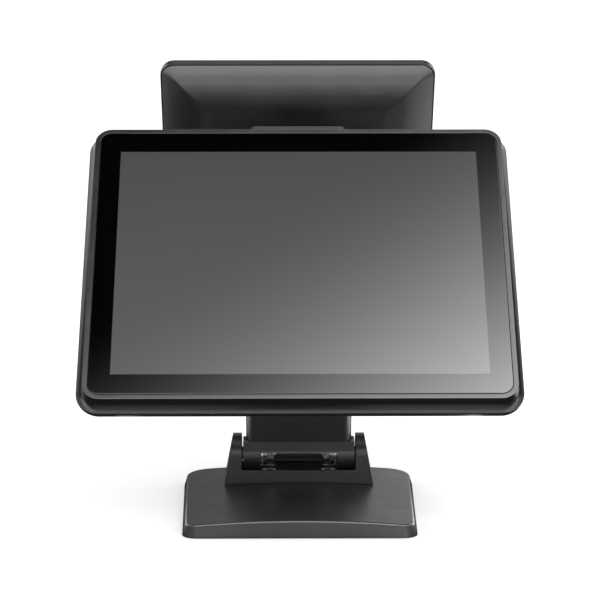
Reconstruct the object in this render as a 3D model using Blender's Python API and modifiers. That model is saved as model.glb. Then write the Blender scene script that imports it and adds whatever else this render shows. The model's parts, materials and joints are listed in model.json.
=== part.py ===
"""Touchscreen checkout terminal: weighted base, tilting neck, main head and customer display.

Metres, +Z up. The operator stands at -Y and the customer at +Y. The origin is on the floor,
under the middle of the whole terminal. Each moving body hangs from an empty on its hinge axis:
the neck from the lower axis, the head from the upper axis, the customer display from its own.
"""

import math

import bmesh
import bpy
from mathutils import Matrix, Vector

# Gaps and walls
GAP = 0.0003             # between touching pieces
BORE_GAP = 0.0003        # radial play of a shaft in its hole
WALL = 0.0025            # moulded wall
ARC_STEPS = 4            # facets in a quarter of an outline's corner
ROUND_STEPS = 16         # facets round a small turned piece

# Base
BASE_Y = -0.0449         # middle of the base
BASE_DEPTH = 0.192
BASE_FRONT_WIDTH = 0.1925
BASE_REAR_WIDTH = 0.2035
BASE_FRONT_RADIUS = 0.012
BASE_REAR_RADIUS = 0.020
BASE_SKIRT = 0.0004      # the cover's lower edge above the floor
BASE_EDGE_TOP = 0.0096   # height of the top face at the left and right edges
BASE_CROWN = 0.0050      # how much higher the top face is along its middle
BASE_DRAFT = 0.0022      # how far the side leans in over its height
BASE_ROUND = 0.0020      # rounding of the top edge
FOOT_RADIUS = 0.0090
FOOT_HEIGHT = 0.0030
PLATE_THICK = 0.0015
BALLAST_SIZE = (0.120, 0.140, 0.0045)

# Lower hinge, between the base and the neck
LOWER_AXIS_Y = BASE_Y + 0.046
LOWER_AXIS_Z = 0.037
SADDLE_INNER = 0.0495    # half the gap between the ears
SADDLE_TOP_OUTER = 0.0570
SADDLE_FOOT_OUTER = 0.0672
SADDLE_EAR_RADIUS = 0.0170
SADDLE_EAR_CENTRE = 0.0380
SADDLE_REAR = 0.0240     # foot of the ear behind the axis
SADDLE_LIP_TOP = 0.0256
SADDLE_DECK_TOP = 0.0185
EAR_BOSS = (0.0060, 0.0009)         # radius and height of the ring that guides the barrel's end
SHAFT_RADIUS = 0.0030
SHAFT_HEAD_RADIUS = 0.0055
WASHER_RADIUS = 0.0065
NUT_ACROSS = 0.0100
BRACKET_X = 0.0310       # inner face of the hinge bracket
BRACKET_THICK = 0.0022
BRACKET_WIDTH = 0.0100
BRACKET_EYE = 0.0075
BRACKET_FOOT = (0.0120, 0.0240, 0.0025)
BRACKET_SCREW = (0.0252, 0.0080)    # from the middle: sideways, and in front of or behind the axis

# Screws: all M4, through plain holes
SCREW_RADIUS = 0.0020
SCREW_HOLE = 0.0023
SCREW_HEAD = (0.0036, 0.0020)       # radius, height
MOUNT_SCREW_HEAD = (0.0040, 0.0022)
BRACKET_SCREW_LENGTH = 0.0098
MOUNT_SCREW_LENGTH = 0.0085
ARM_SCREW_LENGTH = 0.0080
HOLE_DEPTH = 0.020                  # a hole's cutter, long enough to pass any wall

# Neck
NECK_LEAN = math.radians(12.5)      # top towards the operator
NECK_LENGTH = 0.145                 # from the lower axis to the upper axis
NECK_HALF_WIDTH = 0.0457
NECK_HALF_DEPTH = 0.0110
NECK_EDGE = 0.0055
BARREL_RADIUS = 0.0150
BARREL_HALF = 0.0483
BARREL_OPEN = math.radians(42)      # half angle of the opening under the barrel
WINDOW_HALF = 0.0333
WINDOW_LOW = -0.0050
WINDOW_HIGH = 0.0064
SPINE_HALF = 0.0423
SPINE_THICK = 0.0020
SPINE_EYE = 0.0070

# Head: depths run from the front of the glass into the head
HEAD_TILT = math.radians(45.2)      # screen leaning back from upright
AXIS_DEPTH = 0.060                  # the upper axis behind the glass
GLASS_SIZE = (0.340, 0.267, 0.0020)
GLASS_RADIUS = 0.010
LCD_SIZE = (0.3260, 0.2530, 0.0095)
RIM = 0.0046                        # bezel showing round the glass
COVE_DEPTH = 0.0072                 # how deep the bezel's side goes back before it flares out
SIDE_FLARE = 0.0054                 # outward lean of the bezel's left and right sides
END_FLARE = 0.0044                  # the same at its top and bottom
SPLIT_DEPTH = 0.0150                # where bezel and rear housing meet
WIDEST_DEPTH = 0.0174               # where the housing starts to round inwards
BACK_DEPTH = 0.045
CHASSIS_SIZE = (0.344, 0.270, 0.0012)
CHASSIS_DEPTH = 0.0145
BOARD_DEPTH = 0.0205
BOARD_THICK = 0.0016
BOARD_EDGES = (0.095, -0.058, 0.090)        # half width, bottom, top
SINK_EDGES = (0.035, 0.000, 0.056)
DRIVE_EDGES = (0.103, 0.133, -0.030, 0.070) # left, right, bottom, top
VENT_SIZE = (0.0110, 0.0036)
VENT_ROWS = (0.060, 0.068)
VENT_PITCH = 0.0180
MOUNT_HOLE = 0.0375                 # half of the 75 mm screw square
MOUNT_PLATE = (0.110, 0.100, 0.0025)
LUG_X = 0.0461                      # inner face of the mount plate's lugs
LUG_THICK = 0.0030
LUG_RADIUS = 0.0100
BAY_HALF = 0.088                    # connector bay, half its width
BAY_TOP = -0.061
BAY_BOTTOM = -0.108
BAY_FLOOR_DEPTH = 0.0272
BUTTON_X = 0.118
BUTTON_Z = -0.060
BUTTON_RADIUS = 0.0065

# Customer display: placed by its hinge axis, in the head's own frame
CUSTOMER_AXIS_BACK = 0.0194
CUSTOMER_AXIS_UP = 0.1640
CUSTOMER_LEAN = math.radians(30)    # top towards the operator
CUSTOMER_FRONT = 0.0360             # its screen in front of its axis
CUSTOMER_UP = 0.0045                # its middle above its axis
CUSTOMER_SIZE = (0.244, 0.166)
CUSTOMER_RADIUS = 0.013
CUSTOMER_EDGE = 0.0076              # thickness of its bezel
CUSTOMER_DEPTH = 0.0220
CUSTOMER_GLASS = (0.2370, 0.1590, 0.0016)
CUSTOMER_LCD = (0.1130, 0.0740, 0.0045)    # half width, half height, thickness
BOSS_SIZE = (0.081, 0.052, 0.0040)
ARM_HALF = 0.0350
KNUCKLE_RADIUS = 0.0090
KNUCKLE_GAP = 0.0250                # half the gap between the arm's knuckles
ARM_FOOT = (0.0825, 0.1115)         # lower and upper edge where it meets the housing
ARM_WALL = 0.0030
ARM_SCREW = (0.0260, 0.0905)


# ---------------------------------------------------------------- scene

for old in list(bpy.data.objects):
    bpy.data.objects.remove(old, do_unlink=True)


def collection(name):
    made = bpy.data.collections.new(name)
    bpy.context.scene.collection.children.link(made)
    return made


PARTS = collection("pos_touchscreen_terminal")
CUTTERS = collection("cutters")


def finish(name, colour, roughness, metallic=0.0):
    """A plain Principled material."""
    made = bpy.data.materials.new(name)
    made.use_nodes = True
    shader = made.node_tree.nodes["Principled BSDF"]
    shader.inputs["Base Color"].default_value = (*colour, 1)
    shader.inputs["Roughness"].default_value = roughness
    shader.inputs["Metallic"].default_value = metallic
    return made


BLACK_ABS = finish("black_abs", (0.012, 0.012, 0.013), 0.42)
BEZEL_ABS = finish("bezel_abs", (0.018, 0.018, 0.019), 0.35)
COVER_GLASS = finish("cover_glass", (0.004, 0.004, 0.004), 0.05)
LCD = finish("lcd", (0.070, 0.070, 0.072), 0.25)
RUBBER = finish("rubber", (0.015, 0.015, 0.015), 0.85)
STEEL = finish("zinc_plated_steel", (0.55, 0.56, 0.57), 0.35, 1.0)
PAINTED_STEEL = finish("black_painted_steel", (0.020, 0.020, 0.021), 0.5)
ALUMINIUM = finish("aluminium", (0.75, 0.76, 0.77), 0.35, 1.0)
BOARD = finish("circuit_board", (0.012, 0.085, 0.035), 0.45)
PORT = finish("connector_shell", (0.60, 0.60, 0.62), 0.3, 1.0)
PORT_BLACK = finish("connector_plastic", (0.010, 0.010, 0.010), 0.5)


def empty(name, location, tilt, parent=None):
    """A joint's frame: on its axis, turned about X."""
    made = bpy.data.objects.new(name, None)
    made.empty_display_size = 0.02
    made.parent = parent
    made.location = location
    made.rotation_euler = (tilt, 0, 0)
    PARTS.objects.link(made)
    return made


def add(name, mesh, material, frame=None, location=(0, 0, 0), rotation=(0, 0, 0)):
    """A part, or a cutter if it has no material."""
    made = bpy.data.objects.new(name, mesh)
    made.parent = frame
    made.location = location
    made.rotation_euler = rotation
    if material is None:
        CUTTERS.objects.link(made)
        made.hide_render = True
        made.display_type = "WIRE"
    else:
        PARTS.objects.link(made)
        mesh.materials.append(material)
    return made


def boolean(target, tool, operation="DIFFERENCE"):
    made = target.modifiers.new(operation.lower(), "BOOLEAN")
    made.operation = operation
    made.object = tool
    made.solver = "EXACT"


def bevel(target, width, segments=2, angle=50):
    made = target.modifiers.new("bevel", "BEVEL")
    made.width = width
    made.segments = segments
    made.limit_method = "ANGLE"
    made.angle_limit = math.radians(angle)


def smooth(target, angle=35):
    target.data.shade_smooth()
    target.data.set_sharp_from_angle(angle=math.radians(angle))


# ---------------------------------------------------------------- shapes

def mesh_from(name, build):
    """A mesh filled by build(bm), with its faces pointing out."""
    bm = bmesh.new()
    build(bm)
    bmesh.ops.recalc_face_normals(bm, faces=bm.faces)
    mesh = bpy.data.meshes.new(name)
    bm.to_mesh(mesh)
    bm.free()
    return mesh


def block(name, size, centre, material, frame, edge=0.0):
    """A box of this size about its centre, with its edges rounded if asked."""
    scale = Matrix.Diagonal((*size, 1))
    mesh = mesh_from(name, lambda bm: bmesh.ops.create_cube(bm, size=1, matrix=scale))
    made = add(name, mesh, material, frame, centre)
    if edge:
        bevel(made, edge)
    return made


def span(name, low, high, material, frame, edge=0.0):
    """A box from its low corner to its high corner."""
    size = [b - a for a, b in zip(low, high)]
    centre = [(a + b) / 2 for a, b in zip(low, high)]
    return block(name, size, centre, material, frame, edge)


def cylinder_mesh(name, radius, length, steps):
    """A plain cylinder along Z, about its middle."""
    sizes = {"segments": steps, "radius1": radius, "radius2": radius, "depth": length}
    return mesh_from(name, lambda bm: bmesh.ops.create_cone(bm, cap_ends=True, **sizes))


def rod(name, radius, x0, x1, y, z, material, frame, steps=ROUND_STEPS):
    """A plain cylinder along X."""
    mesh = cylinder_mesh(name, radius, abs(x1 - x0), steps)
    made = add(name, mesh, material, frame, ((x0 + x1) / 2, y, z), (0, math.pi / 2, 0))
    smooth(made)
    return made


def turned(name, profile, material, frame, location, rotation, closed=False, steps=ROUND_STEPS):
    """A turned piece: a profile of (radius, height) points, run down its outer side, spun about Z."""
    mesh = bpy.data.meshes.new(name)
    edges = [(i, i + 1) for i in range(len(profile) - 1)]
    if closed:
        edges.append((len(profile) - 1, 0))
    mesh.from_pydata([(r, 0, h) for r, h in profile], edges, [])
    made = add(name, mesh, material, frame, location, rotation)
    screw = made.modifiers.new("turn", "SCREW")
    screw.steps = steps
    screw.render_steps = steps
    screw.use_merge_vertices = True
    screw.merge_threshold = 0.00001
    screw.use_smooth_shade = True
    return made


def rounded_polygon(corners, radii, arc_steps=ARC_STEPS, edge_steps=1):
    """An outline with rounded corners, counter-clockwise, each straight edge cut in edge_steps."""
    arcs = []
    for i, radius in enumerate(radii):
        corner = Vector(corners[i])
        before = (Vector(corners[i - 1]) - corner).normalized()
        after = (Vector(corners[(i + 1) % len(corners)]) - corner).normalized()
        half = before.angle(after) / 2
        centre = corner + (before + after).normalized() * radius / math.sin(half)
        start = corner + before * radius / math.tan(half) - centre
        step = (math.pi - 2 * half) / arc_steps
        arcs.append([centre + Matrix.Rotation(step * k, 2) @ start for k in range(arc_steps + 1)])
    points = []
    for i, arc in enumerate(arcs):
        points.extend(arc)
        following = arcs[(i + 1) % len(arcs)][0]
        points.extend(arc[-1].lerp(following, k / edge_steps) for k in range(1, edge_steps))
    return points


def rounded_rect(half_width, low, high, radius, arc_steps=ARC_STEPS):
    """A rounded rectangle, symmetric left and right."""
    corners = [(-half_width, low), (half_width, low), (half_width, high), (-half_width, high)]
    return rounded_polygon(corners, [radius] * 4, arc_steps)


def loft(bm, rings, closed=False, cap_first=False, cap_last=False):
    """Faces between rings of equally many points."""
    rows = [[bm.verts.new(p) for p in ring] for ring in rings]
    pairs = list(zip(rows, rows[1:]))
    if closed:
        pairs.append((rows[-1], rows[0]))
    for a, b in pairs:
        for i in range(len(a)):
            j = (i + 1) % len(a)
            bm.faces.new((a[i], a[j], b[j], b[i]))
    if cap_first:
        bm.faces.new(rows[0])
    if cap_last:
        bm.faces.new(rows[-1])


def solid_mesh(name, rings):
    """A closed mesh between the first ring and the last."""
    return mesh_from(name, lambda bm: loft(bm, rings, cap_first=True, cap_last=True))


def upright(outline, y):
    """Points of an (x, z) outline, standing at depth y."""
    return [(x, y, z) for x, z in outline]


def flat(outline, z):
    """Points of an (x, y) outline, lying at height z."""
    return [(x, y, z) for x, y in outline]


def plate(name, outline, y0, y1, material, frame):
    """An (x, z) outline given thickness from y0 to y1."""
    rings = [upright(outline, y0), upright(outline, y1)]
    return add(name, solid_mesh(name, rings), material, frame)


def side_prism(name, outline, x0, x1, material, frame):
    """A (y, z) outline given width from x0 to x1."""
    rings = [[(x, y, z) for y, z in outline] for x in (x0, x1)]
    return add(name, solid_mesh(name, rings), material, frame)


def shell(name, rings, thickness, material, frame):
    """An open surface capped at its last ring, thickened inwards."""
    mesh = mesh_from(name, lambda bm: loft(bm, rings, cap_last=True))
    made = add(name, mesh, material, frame)
    solid = made.modifiers.new("wall", "SOLIDIFY")
    solid.thickness = thickness
    solid.offset = -1
    solid.use_even_offset = True
    return made


# ---------------------------------------------------------------- hardware

def washer(name, outer, x0, x1, frame, z=0.0, bore=SHAFT_RADIUS + BORE_GAP):
    """A flat ring on the X axis."""
    h = abs(x1 - x0) / 2
    profile = [(outer, h), (outer, -h), (bore, -h), (bore, h)]
    place = ((x0 + x1) / 2, 0, z)
    return turned(name, profile, STEEL, frame, place, (0, math.pi / 2, 0), closed=True)


def nut(name, across, x0, x1, frame, z=0.0):
    """A hexagon nut on the X axis."""
    made = rod(name, across / math.sqrt(3), x0, x1, 0, z, STEEL, frame, steps=6)
    bore = rod(name + "_bore", SHAFT_RADIUS + BORE_GAP, x0 - 0.002, x1 + 0.002, 0, z, None, frame)
    boolean(made, bore)
    return made


def shaft(name, side, head_x, head_thick, tip_x, frame, z=0.0, head_radius=SHAFT_HEAD_RADIUS):
    """A headed hinge shaft on the X axis, its head outermost."""
    length = head_x - tip_x
    chamfer = 0.0005
    profile = [
        (0, 0),
        (head_radius, 0),
        (head_radius, -head_thick),
        (SHAFT_RADIUS, -head_thick),
        (SHAFT_RADIUS, chamfer - length),
        (SHAFT_RADIUS - chamfer, -length),
        (0, -length),
    ]
    turn = (0, side * math.pi / 2, 0)
    return turned(name, profile, STEEL, frame, (side * head_x, 0, z), turn)


def screw(name, head, length, location, rotation, frame):
    """A pan-head screw, its seat at the location and its head along +Z."""
    head_radius, head_height = head
    radius = SCREW_RADIUS
    profile = [
        (0, head_height),
        (head_radius * 0.7, head_height),
        (head_radius, head_height * 0.55),
        (head_radius, 0),
        (radius, 0),
        (radius, -length + 0.0006),
        (radius * 0.6, -length),
        (0, -length),
    ]
    return turned(name, profile, STEEL, frame, location, rotation, steps=12)


def hole(target, name, location, rotation, frame, radius=SCREW_HOLE):
    """A round hole along its own Z."""
    mesh = cylinder_mesh(name, radius, HOLE_DEPTH, 12)
    boolean(target, add(name, mesh, None, frame, location, rotation))


# ---------------------------------------------------------------- base

def base_top(x):
    """Height of the crowned top face."""
    return BASE_EDGE_TOP + BASE_CROWN * (1 - (2 * x / BASE_REAR_WIDTH) ** 2)


def base_outline(inset, grow=1.0):
    """The base's outline seen from above, moved inwards by inset."""
    front = BASE_FRONT_WIDTH / 2 - inset
    rear = BASE_REAR_WIDTH / 2 - inset
    half = BASE_DEPTH / 2 - inset
    corners = [(-front, -half), (front, -half), (rear, half), (-rear, half)]
    radii = [BASE_FRONT_RADIUS - inset] * 2 + [BASE_REAR_RADIUS - inset] * 2
    outline = rounded_polygon(corners, radii, edge_steps=6)
    return [(x * grow, BASE_Y + y * grow) for x, y in outline]


def base_rings():
    """The side, the rounded edge and the crowned top."""
    rings = [flat(base_outline(0), BASE_SKIRT), flat(base_outline(0), BASE_SKIRT + 0.0006)]
    for k in range(3):
        turn = math.pi / 4 * k
        inset = BASE_DRAFT + BASE_ROUND * (1 - math.cos(turn))
        drop = BASE_ROUND * (1 - math.sin(turn))
        rings.append([(x, y, base_top(x) - drop) for x, y in base_outline(inset)])
    for grow in (0.85, 0.6, 0.35, 0.15):
        rings.append([(x, y, base_top(x)) for x, y in base_outline(BASE_DRAFT + BASE_ROUND, grow)])
    return rings


def bracket_screw_places():
    for side, word in ((-1, "left"), (1, "right")):
        for row, place in ((-1, "front"), (1, "rear")):
            x = side * BRACKET_SCREW[0]
            yield f"bracket_screw_{word}_{place}", x, LOWER_AXIS_Y + row * BRACKET_SCREW[1]


def make_base():
    cover = shell("base_cover", base_rings(), WALL, BLACK_ABS, None)
    smooth(cover)
    for name, x, y in bracket_screw_places():
        hole(cover, name + "_cover_hole", (x, y, base_top(x)), (0, 0, 0), None)
    inset = WALL + BASE_DRAFT
    outline = base_outline(inset)
    low, high = FOOT_HEIGHT, FOOT_HEIGHT + PLATE_THICK
    rings = [flat(outline, low), flat(outline, high)]
    add("base_plate", solid_mesh("base_plate", rings), PAINTED_STEEL, None)
    ballast_z = high + GAP + BALLAST_SIZE[2] / 2
    block("ballast_plate", BALLAST_SIZE, (0, BASE_Y - 0.008, ballast_z), STEEL, None, 0.001)
    for word_x, x in (("left", -0.076), ("right", 0.076)):
        for word_y, y in (("front", -0.074), ("rear", 0.074)):
            make_foot(f"foot_{word_y}_{word_x}", x, BASE_Y + y)


def make_foot(name, x, y):
    """A round rubber foot, its top edge chamfered, under the base plate."""
    top = FOOT_HEIGHT - GAP
    profile = [(0, top), (FOOT_RADIUS, top), (FOOT_RADIUS, 0.0008), (FOOT_RADIUS - 0.0008, 0), (0, 0)]
    turned(name, profile, RUBBER, None, (x, y, 0), (0, 0, 0))


# ---------------------------------------------------------------- lower hinge

def ear_outline(inset):
    """Side view of an ear: upright in front, round over the axis, leaning out at the rear."""
    radius = SADDLE_EAR_RADIUS - inset
    centre = LOWER_AXIS_Y
    foot = 0.004
    points = [(centre - radius, foot)]
    for k in range(13):
        turn = math.pi * (1 - k / 12)
        points.append((centre + radius * math.cos(turn), SADDLE_EAR_CENTRE + radius * math.sin(turn)))
    points.append((centre + SADDLE_REAR - inset, foot))
    return points


def make_ear(name, side, inset, material):
    """A slab with an upright inner face and an outer face that leans in towards its top."""
    outline = ear_outline(inset)
    height = SADDLE_EAR_CENTRE + SADDLE_EAR_RADIUS
    inner = [(side * (SADDLE_INNER + inset), y, z) for y, z in outline]
    outer = []
    for y, z in outline:
        share = z / height
        x = SADDLE_FOOT_OUTER * (1 - share) + SADDLE_TOP_OUTER * share - inset
        outer.append((side * x, y, z))
    rings = [inner, outer]
    return add(name, solid_mesh(name, rings), material)


def crown_cutter(lift):
    """Everything below the base's top face, raised by lift."""
    half = 0.075
    outline = [(-half, -0.01), (half, -0.01)]
    outline += [(half - half * k / 8, base_top(half - half * k / 8) + lift) for k in range(17)]
    rings = [upright(outline, y) for y in (LOWER_AXIS_Y - 0.05, LOWER_AXIS_Y + 0.05)]
    return add("crown_cutter", solid_mesh("crown_cutter", rings), None)


def make_saddle():
    """The moulded U between the base and the neck: two hollow ears on a deck with a front lip."""
    saddle = make_ear("hinge_saddle", -1, 0, BLACK_ABS)
    boolean(saddle, make_ear("saddle_right_ear", 1, 0, None), "UNION")
    front = LOWER_AXIS_Y - SADDLE_EAR_RADIUS
    rear = LOWER_AXIS_Y + SADDLE_EAR_RADIUS
    reach = SADDLE_INNER + 0.002
    lip = 0.003
    bars = (
        ("saddle_deck", front, rear + 0.002, 0.006, SADDLE_DECK_TOP),
        ("saddle_lip", front, front + lip, 0.008, SADDLE_LIP_TOP),
        ("saddle_rear_lip", rear, rear + lip, 0.008, SADDLE_LIP_TOP),
    )
    for name, y0, y1, z0, z1 in bars:
        boolean(saddle, span(name, (-reach, y0, z0), (reach, y1, z1), None, None), "UNION")
    radius, height = EAR_BOSS
    for side in (-1, 1):
        ends = sorted((side * (SADDLE_INNER - height), side * (SADDLE_INNER + 0.001)))
        boss = rod(f"saddle_boss_{side}", radius, *ends, LOWER_AXIS_Y, LOWER_AXIS_Z, None, None, 24)
        boolean(saddle, boss, "UNION")
        boolean(saddle, make_ear(f"saddle_pocket_{side}", side, WALL, None))
    boolean(saddle, crown_cutter(GAP))
    for name, x, y in bracket_screw_places():
        hole(saddle, name + "_deck_hole", (x, y, SADDLE_DECK_TOP), (0, 0, 0), None)


def make_bracket(name, side):
    """A steel angle: a foot on the deck, and an upright with the shaft's eye."""
    foot_low = SADDLE_DECK_TOP + GAP
    eye = []
    for k in range(13):
        turn = math.radians(-40 + 260 * k / 12)
        y = LOWER_AXIS_Y + BRACKET_EYE * math.cos(turn)
        eye.append((y, LOWER_AXIS_Z + BRACKET_EYE * math.sin(turn)))
    half = BRACKET_WIDTH / 2
    outline = [(LOWER_AXIS_Y + half, foot_low)] + eye + [(LOWER_AXIS_Y - half, foot_low)]
    outer = BRACKET_X + BRACKET_THICK
    upright_plate = side_prism(name, outline, side * BRACKET_X, side * outer, STEEL, None)
    inner = outer - BRACKET_FOOT[0]
    low = (min(side * inner, side * BRACKET_X) - 0.001, LOWER_AXIS_Y - BRACKET_FOOT[1] / 2, foot_low)
    high = (max(side * inner, side * BRACKET_X) + 0.001, LOWER_AXIS_Y + BRACKET_FOOT[1] / 2,
            foot_low + BRACKET_FOOT[2])
    boolean(upright_plate, span(name + "_foot", low, high, None, None), "UNION")
    ends = (side * (BRACKET_X - 0.010), side * (BRACKET_X + 0.006))
    bore = rod(name + "_bore", SHAFT_RADIUS + BORE_GAP, *ends, LOWER_AXIS_Y, LOWER_AXIS_Z, None, None)
    boolean(upright_plate, bore)
    return upright_plate


def make_lower_hinge():
    make_saddle()
    brackets = {"left": make_bracket("bracket_left", -1), "right": make_bracket("bracket_right", 1)}
    seat = SADDLE_DECK_TOP + GAP + BRACKET_FOOT[2]
    for name, x, y in bracket_screw_places():
        side = "left" if x < 0 else "right"
        hole(brackets[side], name + "_foot_hole", (x, y, seat), (0, 0, 0), None)
        screw(name, SCREW_HEAD, BRACKET_SCREW_LENGTH, (x, y, seat + GAP), (0, 0, 0), None)


# ---------------------------------------------------------------- neck

def neck_rings(inset, start):
    """Rounded sections up the neck, closing over the upper axis."""
    half_depth = NECK_HALF_DEPTH - inset
    half_width = NECK_HALF_WIDTH - inset
    sections = [(start, half_depth), (NECK_LENGTH, half_depth)]
    for k in range(1, 6):
        turn = math.radians(15 * k)
        sections.append((NECK_LENGTH + half_depth * math.sin(turn), half_depth * math.cos(turn)))
    rings = []
    for z, depth in sections:
        radius = min(NECK_EDGE - inset, depth * 0.95)
        rings.append(flat(rounded_rect(half_width, -depth, depth, radius, 3), z))
    return rings


def neck_half(name, frame, side):
    """One of the neck's two covers: side -1 in front, 1 behind."""
    cover = add(name, solid_mesh(name, neck_rings(0, 0.004)), BLACK_ABS, frame)
    bore_half = BARREL_HALF - WALL
    barrel_steps = 3 * ROUND_STEPS
    outer = (BARREL_RADIUS, -BARREL_HALF, BARREL_HALF)
    inner = (BARREL_RADIUS - WALL, -bore_half, bore_half)
    boolean(cover, rod(name + "_barrel", *outer, 0, 0, None, frame, barrel_steps), "UNION")
    boolean(cover, rod(name + "_bore", *inner, 0, 0, None, frame, barrel_steps))
    hollow = solid_mesh(name + "_hollow", neck_rings(WALL, 0))
    boolean(cover, add(name + "_hollow", hollow, None, frame))
    reach = 0.03
    wedge = [(0, 0)]
    for turn in (-NECK_LEAN - BARREL_OPEN, BARREL_OPEN - NECK_LEAN):
        wedge.append((reach * math.sin(turn), -reach * math.cos(turn)))
    boolean(cover, side_prism(name + "_mouth", wedge, -bore_half, bore_half, None, frame))
    far = 0.06
    edges = sorted((side * GAP / 2, -side * far))
    low, high = (-far, edges[0], -far), (far, edges[1], NECK_LENGTH + far)
    boolean(cover, span(name + "_split", low, high, None, frame))
    eye = rod(name + "_eye", SHAFT_RADIUS + 2 * BORE_GAP, -far, far, 0, NECK_LENGTH, None, frame)
    boolean(cover, eye)
    return cover


def make_spine(frame):
    """The steel channel that carries the load between the two hinges."""
    eye_outline = []
    for centre, first in ((0, math.pi), (NECK_LENGTH, 0)):
        for k in range(9):
            turn = first + math.pi * k / 8
            eye_outline.append((SPINE_EYE * math.cos(turn), centre + SPINE_EYE * math.sin(turn)))
    left = side_prism("neck_spine", eye_outline, -SPINE_HALF, SPINE_THICK - SPINE_HALF, STEEL, frame)
    right = side_prism("spine_right", eye_outline, SPINE_HALF - SPINE_THICK, SPINE_HALF, None, frame)
    boolean(left, right, "UNION")
    web = span("spine_web", (-SPINE_HALF, 0.0050, 0.022), (SPINE_HALF, 0.0068, 0.126), None, frame)
    boolean(left, web, "UNION")
    for word, z in (("lower", 0), ("upper", NECK_LENGTH)):
        bore = rod(f"spine_{word}_bore", SHAFT_RADIUS + BORE_GAP, -0.06, 0.06, 0, z, None, frame)
        boolean(left, bore)


def make_hinge_set(word, side_word, side, z, head_x, head_thick, stack, frame):
    """One shaft with its spring washers and nut; stack holds the washer's and nut's spans."""
    washer_low, washer_high, nut_low, nut_high = stack
    shaft(f"{word}_shaft_{side_word}", side, head_x, head_thick, nut_low - 0.0015, frame, z)
    name = f"{word}_washers_{side_word}"
    washer(name, WASHER_RADIUS, side * washer_low, side * washer_high, frame, z)
    ends = sorted((side * nut_low, side * nut_high))
    nut(f"{word}_nut_{side_word}", NUT_ACROSS, ends[0], ends[1], frame, z)


def make_neck(frame):
    front = neck_half("neck_front_cover", frame, -1)
    low, high = (-WINDOW_HALF, -0.03, WINDOW_LOW), (WINDOW_HALF, -0.008, WINDOW_HIGH)
    boolean(front, span("hinge_window", low, high, None, frame))
    neck_half("neck_rear_cover", frame, 1)
    make_spine(frame)
    lower = (0.0270, 0.0307, 0.0215, 0.0267)
    upper = (0.0365, 0.0400, 0.0310, 0.0362)
    lug_outer = LUG_X + LUG_THICK
    for side_word, side in (("left", -1), ("right", 1)):
        make_hinge_set("lower", side_word, side, 0, 0.0447, 0.0021, lower, frame)
        make_hinge_set("upper", side_word, side, NECK_LENGTH, lug_outer + 0.0021, 0.0018, upper, frame)


# ---------------------------------------------------------------- head

def deep(depth):
    """Y in the head's frame of a depth behind the glass."""
    return depth - AXIS_DEPTH


def face_outline(grow, extra=0.0):
    """The glass's outline grown by grow, and by extra more at the left and right."""
    half = GLASS_SIZE[1] / 2 + grow
    return rounded_rect(GLASS_SIZE[0] / 2 + grow + extra, -half, half, GLASS_RADIUS + grow)


def make_bezel(frame):
    """The front frame: a flat rim round the glass, a ledge behind it, and a side that goes
    straight back and then flares out."""
    opening = GAP
    ledge = -0.0050
    behind_glass = GLASS_SIZE[2] + GAP
    side = RIM + END_FLARE
    extra = SIDE_FLARE - END_FLARE
    sections = [
        (opening, 0, 0.0002),
        (RIM - 0.0005, 0, 0.0002),
        (RIM, 0, 0.0007),
        (RIM + 0.0003, 0, COVE_DEPTH),
        (side, extra, SPLIT_DEPTH - GAP),
        (side - WALL, extra, SPLIT_DEPTH - GAP),
        (RIM - 0.0020, 0, COVE_DEPTH + 0.0012),
        (RIM - 0.0020, 0, behind_glass + 0.0018),
        (ledge, 0, behind_glass + 0.0018),
        (ledge, 0, behind_glass),
        (opening, 0, behind_glass),
    ]
    rings = [upright(face_outline(grow, extra), deep(depth)) for grow, extra, depth in sections]
    mesh = mesh_from("front_bezel", lambda bm: loft(bm, rings, closed=True))
    smooth(add("front_bezel", mesh, BEZEL_ABS, frame))


def housing_rings():
    """The rear housing, from the split line round its soft edge to the raised middle."""
    half_w = GLASS_SIZE[0] / 2 + RIM + SIDE_FLARE
    half_h = GLASS_SIZE[1] / 2 + RIM + END_FLARE
    sections = [
        (SPLIT_DEPTH, half_w, -half_h, half_h, 0.0190),
        (WIDEST_DEPTH, half_w, -half_h, half_h, 0.0190),
        (0.0215, half_w - 0.0012, 0.0012 - half_h, half_h - 0.0012, 0.0180),
        (0.0257, half_w - 0.0042, 0.0042 - half_h, half_h - 0.0042, 0.0160),
        (0.0300, half_w - 0.0100, 0.0100 - half_h, half_h - 0.0085, 0.0140),
        (0.0325, half_w - 0.0190, 0.0190 - half_h, half_h - 0.0135, 0.0120),
        (0.0365, 0.1480, -0.1080, 0.1240, 0.0120),
        (0.0420, 0.1380, -0.0980, 0.1190, 0.0120),
        (0.0440, 0.1345, -0.0945, 0.1160, 0.0110),
        (BACK_DEPTH, 0.1310, -0.0910, 0.1125, 0.0100),
    ]
    return [upright(rounded_rect(w, low, high, r), deep(depth)) for depth, w, low, high, r in sections]


def mount_screw_places():
    for word_z, z in (("upper", MOUNT_HOLE), ("lower", -MOUNT_HOLE)):
        for word_x, x in (("left", -MOUNT_HOLE), ("right", MOUNT_HOLE)):
            yield f"mount_screw_{word_z}_{word_x}", x, z


def arm_screw_places():
    x, z = ARM_SCREW
    return (("arm_screw_left", -x, z), ("arm_screw_right", x, z))


def make_vents(housing, frame):
    """Two rows of cooling slots above the mount."""
    size = Matrix.Diagonal((VENT_SIZE[0], 0.012, VENT_SIZE[1], 1))

    def build(bm):
        for row_z in VENT_ROWS:
            for k in range(-4, 5):
                place = Matrix.Translation((k * VENT_PITCH, deep(BACK_DEPTH), row_z))
                bmesh.ops.create_cube(bm, size=1, matrix=place @ size)
    boolean(housing, add("vents", mesh_from("vents", build), None, frame))


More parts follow.
